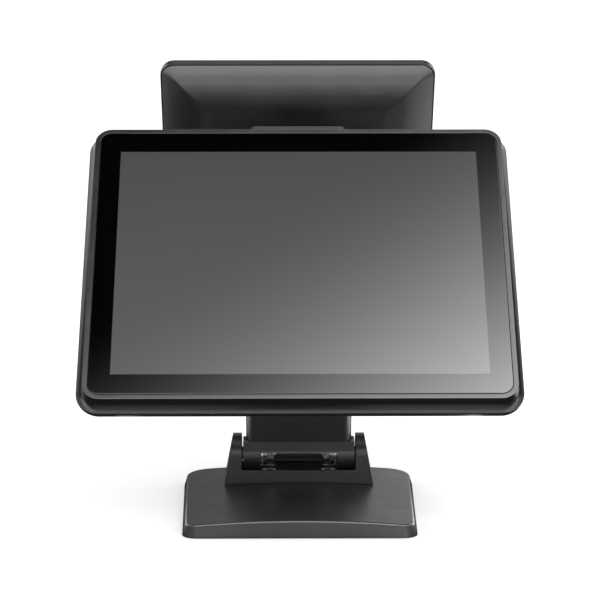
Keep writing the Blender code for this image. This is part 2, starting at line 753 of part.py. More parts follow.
def make_housing(frame):
    housing = shell("rear_housing", housing_rings(), WALL, BLACK_ABS, frame)
    smooth(housing)
    low = (-BAY_HALF, deep(0.020), BAY_BOTTOM)
    high = (BAY_HALF, deep(0.070), BAY_TOP)
    boolean(housing, span("bay_cutter", low, high, None, frame))
    turn = (-math.pi / 2, 0, 0)
    for name, x, z in (*mount_screw_places(), *arm_screw_places()):
        hole(housing, name + "_hole", (x, deep(BACK_DEPTH), z), turn, frame)
    place = (BUTTON_X, deep(BACK_DEPTH), BUTTON_Z)
    hole(housing, "button_hole", place, turn, frame, BUTTON_RADIUS + 0.0004)
    make_vents(housing, frame)


def make_mount_plate(frame):
    """The steel plate screwed to the housing, with two lugs that hold the upper shafts."""
    low = deep(BACK_DEPTH + GAP)
    high = low + MOUNT_PLATE[2]
    outline = rounded_rect(MOUNT_PLATE[0] / 2, -MOUNT_PLATE[1] / 2, MOUNT_PLATE[1] / 2, 0.006)
    made = plate("mount_plate", outline, low, high, PAINTED_STEEL, frame)
    lug = [(low + 0.001, -0.024), (low + 0.001, 0.024)]
    for k in range(13):
        turn = math.radians(65 - 130 * k / 12)
        lug.append((LUG_RADIUS * math.cos(turn), LUG_RADIUS * math.sin(turn)))
    for side in (-1, 1):
        ends = (side * LUG_X, side * (LUG_X + LUG_THICK))
        boolean(made, side_prism(f"mount_lug_{side}", lug, *ends, None, frame), "UNION")
    bore = rod("mount_bore", SHAFT_RADIUS + BORE_GAP, -0.06, 0.06, 0, 0, None, frame)
    boolean(made, bore)
    turn = (-math.pi / 2, 0, 0)
    for name, x, z in mount_screw_places():
        hole(made, name + "_plate_hole", (x, high, z), turn, frame)
        screw(name, MOUNT_SCREW_HEAD, MOUNT_SCREW_LENGTH, (x, high + GAP, z), turn, frame)


def make_inside(frame):
    """What the head holds: panel, chassis, board, heat sink and drive."""
    glass = plate("touch_glass", face_outline(0), deep(0), deep(GLASS_SIZE[2]), COVER_GLASS, frame)
    bevel(glass, 0.0004, 1)
    behind = GLASS_SIZE[2] + GAP
    w, h, d = LCD_SIZE
    span("lcd_panel", (-w / 2, deep(behind), -h / 2), (w / 2, deep(behind + d), h / 2), LCD, frame)
    w, h, d = CHASSIS_SIZE
    outline = rounded_rect(w / 2, -h / 2, h / 2, 0.012)
    plate("chassis", outline, deep(CHASSIS_DEPTH), deep(CHASSIS_DEPTH + d), STEEL, frame)
    board_back = BOARD_DEPTH + BOARD_THICK
    x, z0, z1 = BOARD_EDGES
    span("mainboard", (-x, deep(BOARD_DEPTH), z0), (x, deep(board_back), z1), BOARD, frame)
    make_heat_sink(frame, board_back + GAP)
    x0, x1, z0, z1 = DRIVE_EDGES
    low, high = (x0, deep(BOARD_DEPTH), z0), (x1, deep(BOARD_DEPTH + 0.007), z1)
    span("ssd", low, high, ALUMINIUM, frame, 0.0008)


def make_heat_sink(frame, depth):
    """A finned block on the processor."""
    base = 0.004
    fin_top = 0.0140
    x, z0, z1 = SINK_EDGES
    low, high = (-x, deep(depth), z0), (x, deep(depth + fin_top), z1)
    sink = span("heat_sink", low, high, ALUMINIUM, frame)
    slot = Matrix.Diagonal((0.0048, 0.020, 0.080, 1))

    def build(bm):
        for k in range(-4, 5):
            place = Matrix.Translation((k * 0.0072, deep(depth + base + 0.010), (z0 + z1) / 2))
            bmesh.ops.create_cube(bm, size=1, matrix=place @ slot)
    boolean(sink, add("sink_slots", mesh_from("sink_slots", build), None, frame))


def make_io_tray(frame):
    """The bay's bent sheet: a floor, and a wall that the connectors look through."""
    thick = 0.0012
    top = BAY_TOP + thick
    reach = deep(BACK_DEPTH - WALL - GAP)
    floor = span("io_tray", (-BAY_HALF - 0.001, deep(BAY_FLOOR_DEPTH - thick), BAY_BOTTOM + 0.0005),
                 (BAY_HALF + 0.001, deep(BAY_FLOOR_DEPTH), top), STEEL, frame)
    wall = span("io_wall", (-BAY_HALF - 0.001, deep(BAY_FLOOR_DEPTH - thick), BAY_TOP),
                (BAY_HALF + 0.001, reach, top), None, frame)
    boolean(floor, wall, "UNION")
    return floor


def connector(name, x, size, sockets, material, tray, frame):
    """A connector looking down into the bay, with its sockets cut in; size is width, depth, length."""
    width, thick, length = size
    mouth = BAY_TOP - 0.0015
    middle = deep(BAY_FLOOR_DEPTH + 0.0075)
    centre = (x, middle, mouth + length / 2)
    body = block(name, (width, thick, length), centre, material, frame)
    for k, (dx, dy, socket_w, socket_t, socket_l) in enumerate(sockets):
        reach = 0.003
        place = (x + dx, middle + dy, mouth + (socket_l - reach) / 2)
        size = (socket_w, socket_t, socket_l + reach)
        boolean(body, block(f"{name}_socket_{k}", size, place, None, frame))
    clear = 2 * GAP
    size = (width + clear, thick + clear, 0.02)
    boolean(tray, block(name + "_cutout", size, (x, middle, BAY_TOP), None, frame))
    return body


def make_connectors(frame):
    tray = make_io_tray(frame)
    usb = [(0, -0.0031, 0.0125, 0.0048, 0.009), (0, 0.0031, 0.0125, 0.0048, 0.009)]
    usb_size = (0.0145, 0.0125, 0.016)
    lan = [(0, 0, 0.0120, 0.0090, 0.011)]
    serial = [(0, 0, 0.0130, 0.0080, 0.007)]
    drawer = [(0, 0, 0.0095, 0.0085, 0.010)]
    inlet_x = -0.0680
    rows = (
        ("usb_ports_left", -0.0440, usb_size, usb, PORT),
        ("usb_ports_right", -0.0250, usb_size, usb, PORT),
        ("lan_port", -0.0040, (0.0160, 0.0135, 0.018), lan, PORT),
        ("serial_port", 0.0190, (0.0165, 0.0125, 0.014), serial, PORT),
        ("drawer_port", 0.0430, (0.0130, 0.0125, 0.014), drawer, PORT_BLACK),
        ("power_inlet", inlet_x, (0.0125, 0.0125, 0.014), [], PORT_BLACK),
    )
    for name, x, size, sockets, material in rows:
        inlet = connector(name, x, size, sockets, material, tray, frame)
    place = (inlet_x, deep(BAY_FLOOR_DEPTH + 0.0075), BAY_TOP - 0.0025)
    hole(inlet, "inlet_bore", place, (0, 0, 0), frame, 0.0042)


def make_button(head):
    """The power button's cap: a round head in the housing and a collar that keeps it in."""
    proud = 0.0020
    top = deep(BACK_DEPTH) + proud
    inside = deep(BACK_DEPTH - WALL) - 0.0021
    collar = BUTTON_RADIUS + 0.0020
    frame = empty("power_button_frame", (BUTTON_X, top, BUTTON_Z), -math.pi / 2, head)
    profile = [
        (0, 0),
        (BUTTON_RADIUS - 0.0006, 0),
        (BUTTON_RADIUS, -0.0006),
        (BUTTON_RADIUS, inside - top + 0.0018),
        (collar, inside - top + 0.0018),
        (collar, inside - top),
        (0, inside - top),
    ]
    turned("power_button", profile, BEZEL_ABS, frame, (0, 0, 0), (0, 0, 0))


# ---------------------------------------------------------------- customer display

def make_arm(frame):
    """The hollow arm from the housing's back to the customer display's hinge."""
    foot_y = deep(BACK_DEPTH + GAP)
    tip = (CUSTOMER_AXIS_BACK, CUSTOMER_AXIS_UP)
    root_low, root_high = ((foot_y, z) for z in ARM_FOOT)
    along = (Vector(tip) - (Vector(root_low) + Vector(root_high)) / 2).normalized()
    across = Vector((-along.y, along.x)) * (KNUCKLE_RADIUS - 0.001)
    outline = [root_low, Vector(tip) - across, Vector(tip) + across, root_high]
    arm = side_prism("customer_arm", outline, -ARM_HALF, ARM_HALF, BLACK_ABS, frame)
    knuckle = rod("arm_knuckle", KNUCKLE_RADIUS, -ARM_HALF, ARM_HALF, *tip, None, frame, steps=32)
    boolean(arm, knuckle, "UNION")
    shift = Vector((along.y, -along.x)) * ARM_WALL
    hollow = [Vector(p) + shift for p in outline]
    hollow[0] = Vector((foot_y + ARM_WALL, root_low[1] - 0.010))
    hollow[3] = Vector((foot_y + ARM_WALL, root_high[1] - 0.0035))
    hollow[1] = Vector(tip) - along * 0.016 + shift * 5
    hollow[2] = Vector(tip) - along * 0.016 + across * 0.55
    inner_half = ARM_HALF - ARM_WALL
    boolean(arm, side_prism("arm_hollow", hollow, -inner_half, inner_half, None, frame))
    gap = (KNUCKLE_RADIUS + 0.0035, -KNUCKLE_GAP, KNUCKLE_GAP)
    boolean(arm, rod("arm_gap", *gap, *tip, None, frame, steps=32))
    boolean(arm, rod("arm_bore", SHAFT_RADIUS + BORE_GAP, -0.06, 0.06, *tip, None, frame))
    turn = (-math.pi / 2, 0, 0)
    for name, x, z in arm_screw_places():
        seat = foot_y + ARM_WALL + GAP
        hole(arm, name + "_arm_hole", (x, foot_y, z), turn, frame)
        screw(name, SCREW_HEAD, ARM_SCREW_LENGTH, (x, seat, z), turn, frame)


def customer_outline(inset, radius):
    half_w = CUSTOMER_SIZE[0] / 2 - inset
    half_h = CUSTOMER_SIZE[1] / 2 - inset
    return rounded_rect(half_w, CUSTOMER_UP - half_h, CUSTOMER_UP + half_h, radius)


def make_customer_bezel(frame):
    """The frame round the customer's glass, with a ledge behind it."""
    opening = (CUSTOMER_SIZE[0] - CUSTOMER_GLASS[0]) / 2 - GAP
    behind = CUSTOMER_GLASS[2] + GAP
    ledge = 0.0065
    sections = [
        (opening, 0.0002),
        (0.0010, 0.0002),
        (0, 0.0012),
        (0, CUSTOMER_EDGE - GAP),
        (0.0022, CUSTOMER_EDGE - GAP),
        (0.0022, behind + 0.0014),
        (ledge, behind + 0.0014),
        (ledge, behind),
        (opening, behind),
    ]
    rings = []
    for inset, depth in sections:
        radius = max(CUSTOMER_RADIUS - inset, 0.004)
        rings.append(upright(customer_outline(inset, radius), CUSTOMER_FRONT - depth))
    mesh = mesh_from("customer_bezel", lambda bm: loft(bm, rings, closed=True))
    smooth(add("customer_bezel", mesh, BEZEL_ABS, frame))


def make_customer_cover(frame):
    """The domed back with mitred corners, and the boss that carries the hinge block."""
    sections = [
        (0.0000, CUSTOMER_EDGE, CUSTOMER_RADIUS),
        (0.0000, CUSTOMER_EDGE + 0.0012, CUSTOMER_RADIUS),
        (0.0045, 0.0130, 0.0090),
        (0.0120, 0.0166, 0.0070),
        (0.0220, 0.0195, 0.0060),
        (0.0340, 0.0213, 0.0050),
        (0.0460, CUSTOMER_DEPTH, 0.0050),
    ]
    rings = []
    for inset, depth, radius in sections:
        rings.append(upright(customer_outline(inset, radius), CUSTOMER_FRONT - depth))
    cover = shell("customer_rear_cover", rings, 0.0022, BLACK_ABS, frame)
    smooth(cover)
    w, h, t = BOSS_SIZE
    back = CUSTOMER_FRONT - CUSTOMER_DEPTH
    outline = rounded_rect(w / 2, CUSTOMER_UP - h / 2, CUSTOMER_UP + h / 2, 0.006)
    boolean(cover, plate("boss", outline, back - t, back + 0.001, None, frame), "UNION")


def make_customer_display(frame):
    make_customer_bezel(frame)
    w, h, t = CUSTOMER_GLASS
    radius = CUSTOMER_RADIUS - (CUSTOMER_SIZE[0] - w) / 2
    outline = rounded_rect(w / 2, CUSTOMER_UP - h / 2, CUSTOMER_UP + h / 2, radius)
    plate("customer_glass", outline, CUSTOMER_FRONT - t, CUSTOMER_FRONT, COVER_GLASS, frame)
    lcd_front = CUSTOMER_FRONT - t - GAP
    half_w, half_h, thick = CUSTOMER_LCD
    low = (-half_w, lcd_front - thick, CUSTOMER_UP - half_h)
    span("customer_lcd", low, (half_w, lcd_front, CUSTOMER_UP + half_h), LCD, frame)
    board_y = lcd_front - 0.0075
    low = (-0.060, board_y - 0.0016, CUSTOMER_UP - 0.030)
    span("customer_board", low, (0.060, board_y, CUSTOMER_UP + 0.030), BOARD, frame)
    make_customer_cover(frame)
    make_hinge_block(frame)
    end = ARM_HALF + 0.0015
    profile = [(0, end), (SHAFT_RADIUS - 0.0004, end), (SHAFT_RADIUS, end - 0.0004),
               (SHAFT_RADIUS, 0.0004 - end), (SHAFT_RADIUS - 0.0004, -end), (0, -end)]
    turned("customer_pin", profile, STEEL, frame, (0, 0, 0), (0, math.pi / 2, 0))


def make_hinge_block(frame):
    """The steel block on the boss that turns between the arm's knuckles."""
    half = KNUCKLE_GAP - 0.0004
    face = CUSTOMER_FRONT - CUSTOMER_DEPTH - BOSS_SIZE[2] - GAP
    low, high = (-half, face - 0.0025, -0.016), (half, face, 0.020)
    made = span("hinge_block", low, high, PAINTED_STEEL, frame)
    lug = rod("block_lug", 0.0072, -half, half, 0, 0, None, frame, steps=32)
    boolean(made, lug, "UNION")
    web = span("block_web", (-half, 0, -0.0066), (half, face - 0.001, 0.0066), None, frame)
    boolean(made, web, "UNION")
    boolean(made, rod("block_bore", SHAFT_RADIUS + BORE_GAP, -0.06, 0.06, 0, 0, None, frame))


# ---------------------------------------------------------------- assembly

def main():
    make_base()
    make_lower_hinge()
    neck = empty("neck_frame", (0, LOWER_AXIS_Y, LOWER_AXIS_Z), NECK_LEAN)
    make_neck(neck)
    head = empty("head_frame", (0, 0, NECK_LENGTH), -HEAD_TILT - NECK_LEAN, neck)
    make_bezel(head)
    make_inside(head)
    make_housing(head)
    make_mount_plate(head)
    make_connectors(head)
    make_button(head)
    make_arm(head)
    place = (0, CUSTOMER_AXIS_BACK, CUSTOMER_AXIS_UP)
    customer = empty("customer_frame", place, HEAD_TILT + CUSTOMER_LEAN, head)
    make_customer_display(customer)
    bpy.context.view_layer.update()


main()
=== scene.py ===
import json
import math

import bmesh
import bpy
from mathutils import Matrix, Vector


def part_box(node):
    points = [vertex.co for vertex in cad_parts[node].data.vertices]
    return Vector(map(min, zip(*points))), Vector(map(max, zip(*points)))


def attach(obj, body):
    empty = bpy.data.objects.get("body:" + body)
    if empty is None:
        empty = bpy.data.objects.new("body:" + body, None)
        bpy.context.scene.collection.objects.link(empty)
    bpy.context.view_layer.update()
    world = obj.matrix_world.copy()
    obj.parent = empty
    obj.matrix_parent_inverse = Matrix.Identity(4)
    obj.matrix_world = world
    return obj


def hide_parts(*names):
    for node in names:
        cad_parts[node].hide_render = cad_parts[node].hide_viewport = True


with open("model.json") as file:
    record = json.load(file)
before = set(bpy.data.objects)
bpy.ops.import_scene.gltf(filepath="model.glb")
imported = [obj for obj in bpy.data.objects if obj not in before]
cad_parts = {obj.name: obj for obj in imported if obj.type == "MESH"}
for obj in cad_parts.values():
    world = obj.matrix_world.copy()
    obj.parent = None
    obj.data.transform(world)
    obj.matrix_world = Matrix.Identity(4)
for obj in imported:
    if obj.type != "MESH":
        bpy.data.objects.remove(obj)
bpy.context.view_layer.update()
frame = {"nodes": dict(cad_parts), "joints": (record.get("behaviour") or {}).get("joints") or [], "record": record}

# Materials, lights and frames are in metres. Meshes are made in millimetres, in the frame of their body.
MM = 0.001
UNIT = Matrix.Scale(MM, 4)
GAP = 0.3                # between neighbouring pieces
WALL = 2.5               # thickness of the mouldings
ARC = 12                 # facets in a corner of an outline
TURN = 48                # facets round a turned piece

# -------- frames

X = Vector((1, 0, 0))


def joint(name):
    return next(j for j in frame["joints"] if j["name"] == name)


def axes(origin, y):
    """A frame at origin whose Y axis is y and whose X axis is the world's."""
    y = Vector(y).normalized()
    made = Matrix((X, y, X.cross(y))).transposed().to_4x4()
    made.translation = origin
    return made


LOWER_AXIS = Vector(joint("neck_tilt")["pos_m"])
UPPER_AXIS = Vector(joint("head_tilt")["pos_m"])
CUSTOMER_AXIS = Vector(joint("customer_tilt")["pos_m"])
CUSTOMER_LEAN = math.radians(30)
BASE = Matrix.Translation((0, (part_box("base_cover")[0].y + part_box("base_cover")[1].y) / 2, 0))
NECK = axes(LOWER_AXIS, (UPPER_AXIS - LOWER_AXIS).cross(X))
HEAD = axes(UPPER_AXIS, -Vector(joint("power_press")["axis"]))
CUSTOMER = axes(CUSTOMER_AXIS, (0, math.cos(CUSTOMER_LEAN), math.sin(CUSTOMER_LEAN)))
FRAMES = {"base": BASE, "neck": NECK, "head": HEAD, "customer_display": CUSTOMER, "power_button": HEAD}
NECK_LENGTH = (UPPER_AXIS - LOWER_AXIS).length / MM
AXIS_DEPTH = 60.0        # from the glass's front to the head's axis

# -------- node materials

PRINT = (0.0012, 0.0012, 0.0013)         # the black print under the cover glass


def node(tree, kind, inputs=None, **settings):
    made = tree.nodes.new("ShaderNode" + kind)
    for key, value in settings.items():
        setattr(made, key, value)
    for key, value in (inputs or {}).items():
        if isinstance(value, bpy.types.NodeSocket):
            tree.links.new(value, made.inputs[key])
        else:
            made.inputs[key].default_value = value
    return made


def rgba(colour):
    return (*colour, 1) if len(colour) == 3 else colour


def blank(name, colour, roughness, metallic=0.0, **shader_inputs):
    """A material with one Principled shader. Returns it, its tree and the shader."""
    made = bpy.data.materials.new(name)
    made.use_nodes = True
    shader = made.node_tree.nodes["Principled BSDF"]
    values = {"Base Color": rgba(colour), "Roughness": roughness, "Metallic": metallic}
    for key, value in {**values, **shader_inputs}.items():
        shader.inputs[key.replace("_", " ")].default_value = value
    made.diffuse_color = rgba(colour)
    return made, made.node_tree, shader


def where(tree, frame_of=None):
    """Coordinates at rest: the row frame's, or another frame's."""
    place = node(tree, "TexCoord").outputs["Object"]
    if frame_of is None:
        return place
    back = frame_of.inverted()
    inputs = {"Vector": place, "Location": back.translation, "Rotation": back.to_euler()}
    return node(tree, "Mapping", inputs).outputs[0]


def noise(tree, scale, detail=2.0, stretch=None, rough=0.5):
    place = where(tree)
    if stretch:
        place = node(tree, "Mapping", {"Vector": place, "Scale": stretch}).outputs[0]
    inputs = {"Vector": place, "Scale": scale, "Detail": detail, "Roughness": rough}
    return node(tree, "TexNoise", inputs).outputs["Fac"]


def remap(tree, value, low, high, to_low, to_high, **settings):
    inputs = {"Value": value, "From Min": low, "From Max": high, "To Min": to_low, "To Max": to_high}
    return node(tree, "MapRange", inputs, **settings).outputs["Result"]


def math_node(tree, operation, a, b=0.0):
    return node(tree, "Math", {0: a, 1: b}, operation=operation).outputs[0]


def times(tree, a, b):
    return math_node(tree, "MULTIPLY", a, b)


def mixed(tree, share, a, b):
    made = node(tree, "Mix", {"Factor": share}, data_type="RGBA")
    for key, value in (("A", a), ("B", b)):
        socket = next(s for s in made.inputs if s.name == key and s.type == "RGBA")
        if isinstance(value, bpy.types.NodeSocket):
            tree.links.new(value, socket)
        else:
            socket.default_value = rgba(value)
    return next(s for s in made.outputs if s.type == "RGBA")


def edges(tree, radius, low=0.02, high=0.25):
    """1 on edges sharper than the radius, 0 on flat and gently curved faces."""
    soft = node(tree, "Bevel", {"Radius": radius}, samples=4).outputs[0]
    hard = node(tree, "NewGeometry").outputs["Normal"]
    dot = node(tree, "VectorMath", {0: soft, 1: hard}, operation="DOT_PRODUCT").outputs["Value"]
    return remap(tree, dot, 1 - low, 1 - high, 0, 1)


def surface(tree, shader, colour, roughness, height, strength, depth):
    """Links the colour and the roughness, and a bump of a depth in millimetres."""
    made = node(tree, "Bump", {"Height": height, "Strength": strength, "Distance": depth * MM})
    tree.links.new(colour, shader.inputs["Base Color"])
    tree.links.new(roughness, shader.inputs["Roughness"])
    tree.links.new(made.outputs[0], shader.inputs["Normal"])


def scaled(colour, k):
    return tuple(min(1, c * k) for c in colour)


def plastic(name, colour, roughness, grain=1600, depth=0.03, wear_and_highlight=0.5, shine=0.5):
    """Moulded plastic: spark-eroded grain, slow mottling, edges rubbed smooth, and edges lightened in colour as a
    painted highlight.
    """
    made, tree, shader = blank(name, colour, roughness, Specular_IOR_Level=shine)
    slow = remap(tree, noise(tree, 22, 3), 0.35, 0.65, 0, 1)
    tone = mixed(tree, slow, scaled(colour, 0.88), scaled(colour, 1.12))
    # Patchy edge mask: it rubs the edges smooth (lower roughness) and also lightens their colour as a painted
    # highlight.
    rim = times(tree, edges(tree, 0.0007), remap(tree, noise(tree, 260, 2), 0.3, 0.7, 0.2, wear_and_highlight))
    handled = remap(tree, noise(tree, 55, 4, rough=0.6), 0.3, 0.7, roughness - 0.035, roughness + 0.04)
    polished = math_node(tree, "SUBTRACT", handled, times(tree, rim, 0.08))
    # The edges' colour lightened to 2.2 times the plastic's own: a painted highlight.
    surface(tree, shader, mixed(tree, rim, tone, scaled(colour, 2.2)), polished,
            noise(tree, grain, 3, rough=0.65), 0.35, depth)
    return made


def metal(name, colour, roughness, stretch=(1, 1, 1)):
    """Plated or bare metal with drawn streaks, a cloudy finish and a painted highlight that lightens its edges."""
    made, tree, shader = blank(name, colour, roughness, 1.0)
    cloud = remap(tree, noise(tree, 40, 4), 0.3, 0.7, 0, 1)
    tone = mixed(tree, cloud, scaled(colour, 0.86), scaled(colour, 1.06))
    # Edges lightened towards pale grey: a painted highlight.
    tone = mixed(tree, times(tree, edges(tree, 0.0004), 0.3), tone, (0.9, 0.9, 0.9))
    streak = noise(tree, 500, 3, stretch)
    drawn = remap(tree, streak, 0.3, 0.7, roughness - 0.08, roughness + 0.1)
    surface(tree, shader, tone, drawn, streak, 0.25, 0.02)
    return made


def inside(tree, value, low, high, soft=0.25 * MM):
    """1 where the value lies between low and high."""
    rise = remap(tree, value, low - soft, low + soft, 0, 1)
    return times(tree, rise, remap(tree, value, high - soft, high + soft, 1, 0))


def cover_glass(name, body, window, panel):
    """Cover glass printed black round a window, in millimetres, that shows the grey panel behind it, with painted
    shading that makes the panel lighter towards its bottom.
    """
    half, low, high = (v * MM for v in window)
    made, tree, shader = blank(name, PRINT, 0.03, IOR=1.5)
    place = node(tree, "SeparateXYZ", {0: where(tree, FRAMES[body])})
    across, up = place.outputs["X"], place.outputs["Z"]
    mask = times(tree, inside(tree, across, -half, half), inside(tree, up, low, high))
    # Panel 1.5 times lighter at the bottom of the window, fading to its own grey at the top: painted shading.
    tone = mixed(tree, remap(tree, up, low, high, 0, 1), scaled(panel, 1.5), panel)
    weave = remap(tree, noise(tree, 3000, 1), 0.3, 0.7, 0.0, 0.05)
    tone = mixed(tree, weave, tone, scaled(panel, 1.5))
    smudge = remap(tree, noise(tree, 16, 5, rough=0.7), 0.45, 0.8, 0.025, 0.06)
    surface(tree, shader, mixed(tree, mask, PRINT, tone), smudge, noise(tree, 35, 1), 0.06, 0.01)
    return made


def rubber(name):
    """Matt rubber with dust on it."""
    made, tree, shader = blank(name, (0.014, 0.014, 0.014), 0.85)
    dust = remap(tree, noise(tree, 700, 4), 0.5, 0.75, 0, 0.35)
    surface(tree, shader, mixed(tree, dust, (0.012, 0.012, 0.012), (0.05, 0.048, 0.045)),
            remap(tree, noise(tree, 90), 0.3, 0.7, 0.78, 0.92), noise(tree, 900, 3), 0.4, 0.05)
    return made


def board(name):
    """Green solder mask with tracks under it and bare copper spots."""
    green = (0.008, 0.075, 0.028)
    made, tree, shader = blank(name, green, 0.35)
    inputs = {"Vector": where(tree), "Scale": 260.0}
    cells = node(tree, "TexVoronoi", inputs, distance="MANHATTAN", feature="F2")
    tracks = remap(tree, cells.outputs["Distance"], 0.45, 0.5, 0, 1)
    pads = node(tree, "TexVoronoi", {"Vector": where(tree), "Scale": 420.0, "Randomness": 0.6})
    dots = remap(tree, pads.outputs["Distance"], 0.17, 0.2, 1, 0)
    tone = mixed(tree, dots, mixed(tree, tracks, green, (0.02, 0.16, 0.06)), (0.75, 0.55, 0.25))
    surface(tree, shader, tone, remap(tree, dots, 0, 1, 0.4, 0.22), tracks, 0.3, 0.03)
    return made


def coated(name, colour, roughness):
    """Powder-coated sheet: a fine orange-peel surface, with a painted highlight that lightens its edges."""
    made, tree, shader = blank(name, colour, roughness)
    slow = remap(tree, noise(tree, 30, 3), 0.35, 0.65, 0, 1)
    tone = mixed(tree, slow, scaled(colour, 0.85), scaled(colour, 1.2))
    # Edges lightened towards grey: a painted highlight.
    tone = mixed(tree, times(tree, edges(tree, 0.0005), 0.25), tone, (0.25, 0.25, 0.26))
    handled = remap(tree, noise(tree, 150, 3), 0.3, 0.7, roughness - 0.06, roughness + 0.06)
    surface(tree, shader, tone, handled, noise(tree, 1100, 2), 0.5, 0.05)
    return made


# One material for each of the record's slots, and two that share a slot.
FINISHES = {
    "black_abs": plastic("black_abs", (0.0078, 0.0078, 0.0082), 0.36),
    "bezel_abs": plastic("bezel_abs", (0.004, 0.004, 0.0043), 0.33, 2400, depth=0.015, wear_and_highlight=0.3, shine=0.52),
    "cover_glass": cover_glass("cover_glass", "head", (152.0, -115.0, 112.8), (0.062, 0.062, 0.064)),
    "lcd": metal("lcd_frame", (0.62, 0.62, 0.62), 0.4),
    "zinc_steel": metal("zinc_steel", (0.60, 0.61, 0.63), 0.28),
    "connector_shell": metal("connector_shell", (0.66, 0.65, 0.62), 0.22),
    "aluminium": metal("aluminium", (0.76, 0.77, 0.78), 0.34, stretch=(1, 1, 0.04)),
    "black_steel": coated("black_steel", (0.014, 0.014, 0.015), 0.45),
    "rubber": rubber("rubber"),
    "circuit_board": board("circuit_board"),
    "connector_black": plastic("connector_black", (0.012, 0.012, 0.012), 0.5, 2600, wear_and_highlight=0.1),
}
CUSTOMER_GLASS = cover_glass("customer_cover_glass", "customer_display", (108.5, -64.5, 73.5),
                             (0.06, 0.06, 0.062))
GOLD = metal("contact_gold", (0.85, 0.62, 0.25), 0.25)

# -------- mesh helpers


def rounded_polygon(corners, radii, arc=ARC, cuts=1):
    """A counter-clockwise outline with rounded corners, each straight edge cut in pieces."""
    arcs = []
    for i, radius in enumerate(radii):
        corner = Vector(corners[i])
        before = (Vector(corners[i - 1]) - corner).normalized()
        after = (Vector(corners[(i + 1) % len(corners)]) - corner).normalized()
        half = before.angle(after) / 2
        centre = corner + (before + after).normalized() * radius / math.sin(half)
        start = corner + before * radius / math.tan(half) - centre
        step = (math.pi - 2 * half) / arc
        arcs.append([centre + Matrix.Rotation(step * k, 2) @ start for k in range(arc + 1)])
    points = []
    for i, turned in enumerate(arcs):
        following = arcs[(i + 1) % len(arcs)][0]
        points += turned + [turned[-1].lerp(following, k / cuts) for k in range(1, cuts)]
    return points


def rounded_rect(half, low, high, radius, arc=ARC, cuts=1):
    corners = [(-half, low), (half, low), (half, high), (-half, high)]
    return rounded_polygon(corners, [radius] * 4, arc, cuts)


def bend(radius, first, last, steps, middle=(0, 0)):
    """Points round part of a circle, between two angles in degrees."""
    turns = [math.radians(first + (last - first) * k / steps) for k in range(steps + 1)]
    return [(middle[0] + radius * math.cos(t), middle[1] + radius * math.sin(t)) for t in turns]


def quarter(radius, steps):
    """A rounded edge as steps (in from the side, down from the face), from the side to the face."""
    return [(radius - a, radius - b) for a, b in bend(radius, 0, 90, steps)]


def smooth_curve(points, steps):
    """Points along a curve through the given (a, b) points."""
    made = []
    for i in range(len(points) - 1):
        p = [Vector(points[max(0, min(len(points) - 1, i + k))]) for k in (-1, 0, 1, 2)]
        for s in range(steps):
            t = s / steps
            b = (p[2] - p[0]) * t
            c = (2 * p[0] - 5 * p[1] + 4 * p[2] - p[3]) * t * t
            d = (3 * p[1] - p[0] - 3 * p[2] + p[3]) * t ** 3
            made.append((2 * p[1] + b + c + d) / 2)
    made.append(Vector(points[-1]))
    return made


def upright(outline, y):
    return [Vector((x, y, z)) for x, z in outline]


def flat(outline, z):
    return [Vector((x, y, z)) for x, y in outline]


def sideways(outline, x):
    return [Vector((x, y, z)) for y, z in outline]


def finished(bm):
    mesh = bpy.data.meshes.new("piece")
    bm.to_mesh(mesh)
    bm.free()
    return mesh


def loft(rings, closed=False, first=False, last=False):
    """A mesh between rings of equally many points, or of one point; first and last cap it."""
    bm = bmesh.new()
    rows = [[bm.verts.new(p) for p in ring] for ring in rings]
    count = max(len(row) for row in rows)
    for a, b in list(zip(rows, rows[1:])) + ([(rows[-1], rows[0])] if closed else []):
        for i in range(count):
            j = (i + 1) % count
            corners = [a[i % len(a)], a[j % len(a)], b[j % len(b)], b[i % len(b)]]
            bm.faces.new(list(dict.fromkeys(corners)))
    if first:
        bm.faces.new(rows[0])
    if last:
        bm.faces.new(rows[-1])
    bmesh.ops.recalc_face_normals(bm, faces=bm.faces)
    return finished(bm)


def solid(rings):
    return loft(rings, first=True, last=True)


def slab(outline, low, high, plane=upright):
    """An outline given a thickness along the third axis."""
    return solid([plane(outline, low), plane(outline, high)])


def box(low, high, at=(0, 0, 0)):
    """A box from corner to corner, moved by a point."""
    (x0, y0, z0), (x1, y1, z1) = (Vector(corner) + Vector(at) for corner in (low, high))
    return slab([(x0, z0), (x1, z0), (x1, z1), (x0, z1)], y0, y1)


def lathe(profile, closed=False, steps=TURN, place=Matrix()):
    """A profile of (radius, height) points turned about Z, then placed."""
    turns = [2 * math.pi * k / steps for k in range(steps)]
    rings = [[(r * math.cos(t), r * math.sin(t), h) for t in (turns if r else turns[:1])] for r, h in profile]
    mesh = loft(rings, closed)
    mesh.transform(place)
    return mesh


def along_x(x=0, y=0, z=0, side=1):
    """Turns +Z onto +X, or -X for side -1, and moves to a point."""
    return Matrix.Translation((x, y, z)) @ Matrix.Rotation(side * math.pi / 2, 4, "Y")


def rod(radius, x0, x1, y=0, z=0, steps=TURN):
    """A cylinder along X."""
    return slab(bend(radius, -90, 270 - 360 / steps, steps - 1, (y, z)), x0, x1, sideways)


def baked(mesh, *modifiers):
    """The mesh after modifiers, each (type, settings)."""
    host = bpy.data.objects.new("host", mesh)
    bpy.context.scene.collection.objects.link(host)
    tools = []
    for kind, settings in modifiers:
        made = host.modifiers.new(kind, kind)
        for key, value in settings.items():
            if isinstance(value, bpy.types.Mesh):
                value = bpy.data.objects.new("tool", value)
                bpy.context.scene.collection.objects.link(value)
                tools.append(value)
            setattr(made, key, value)
    bpy.context.view_layer.update()
    result = bpy.data.meshes.new_from_object(host.evaluated_get(bpy.context.evaluated_depsgraph_get()))
    for old in (host, *tools):
        bpy.data.objects.remove(old)
    return result


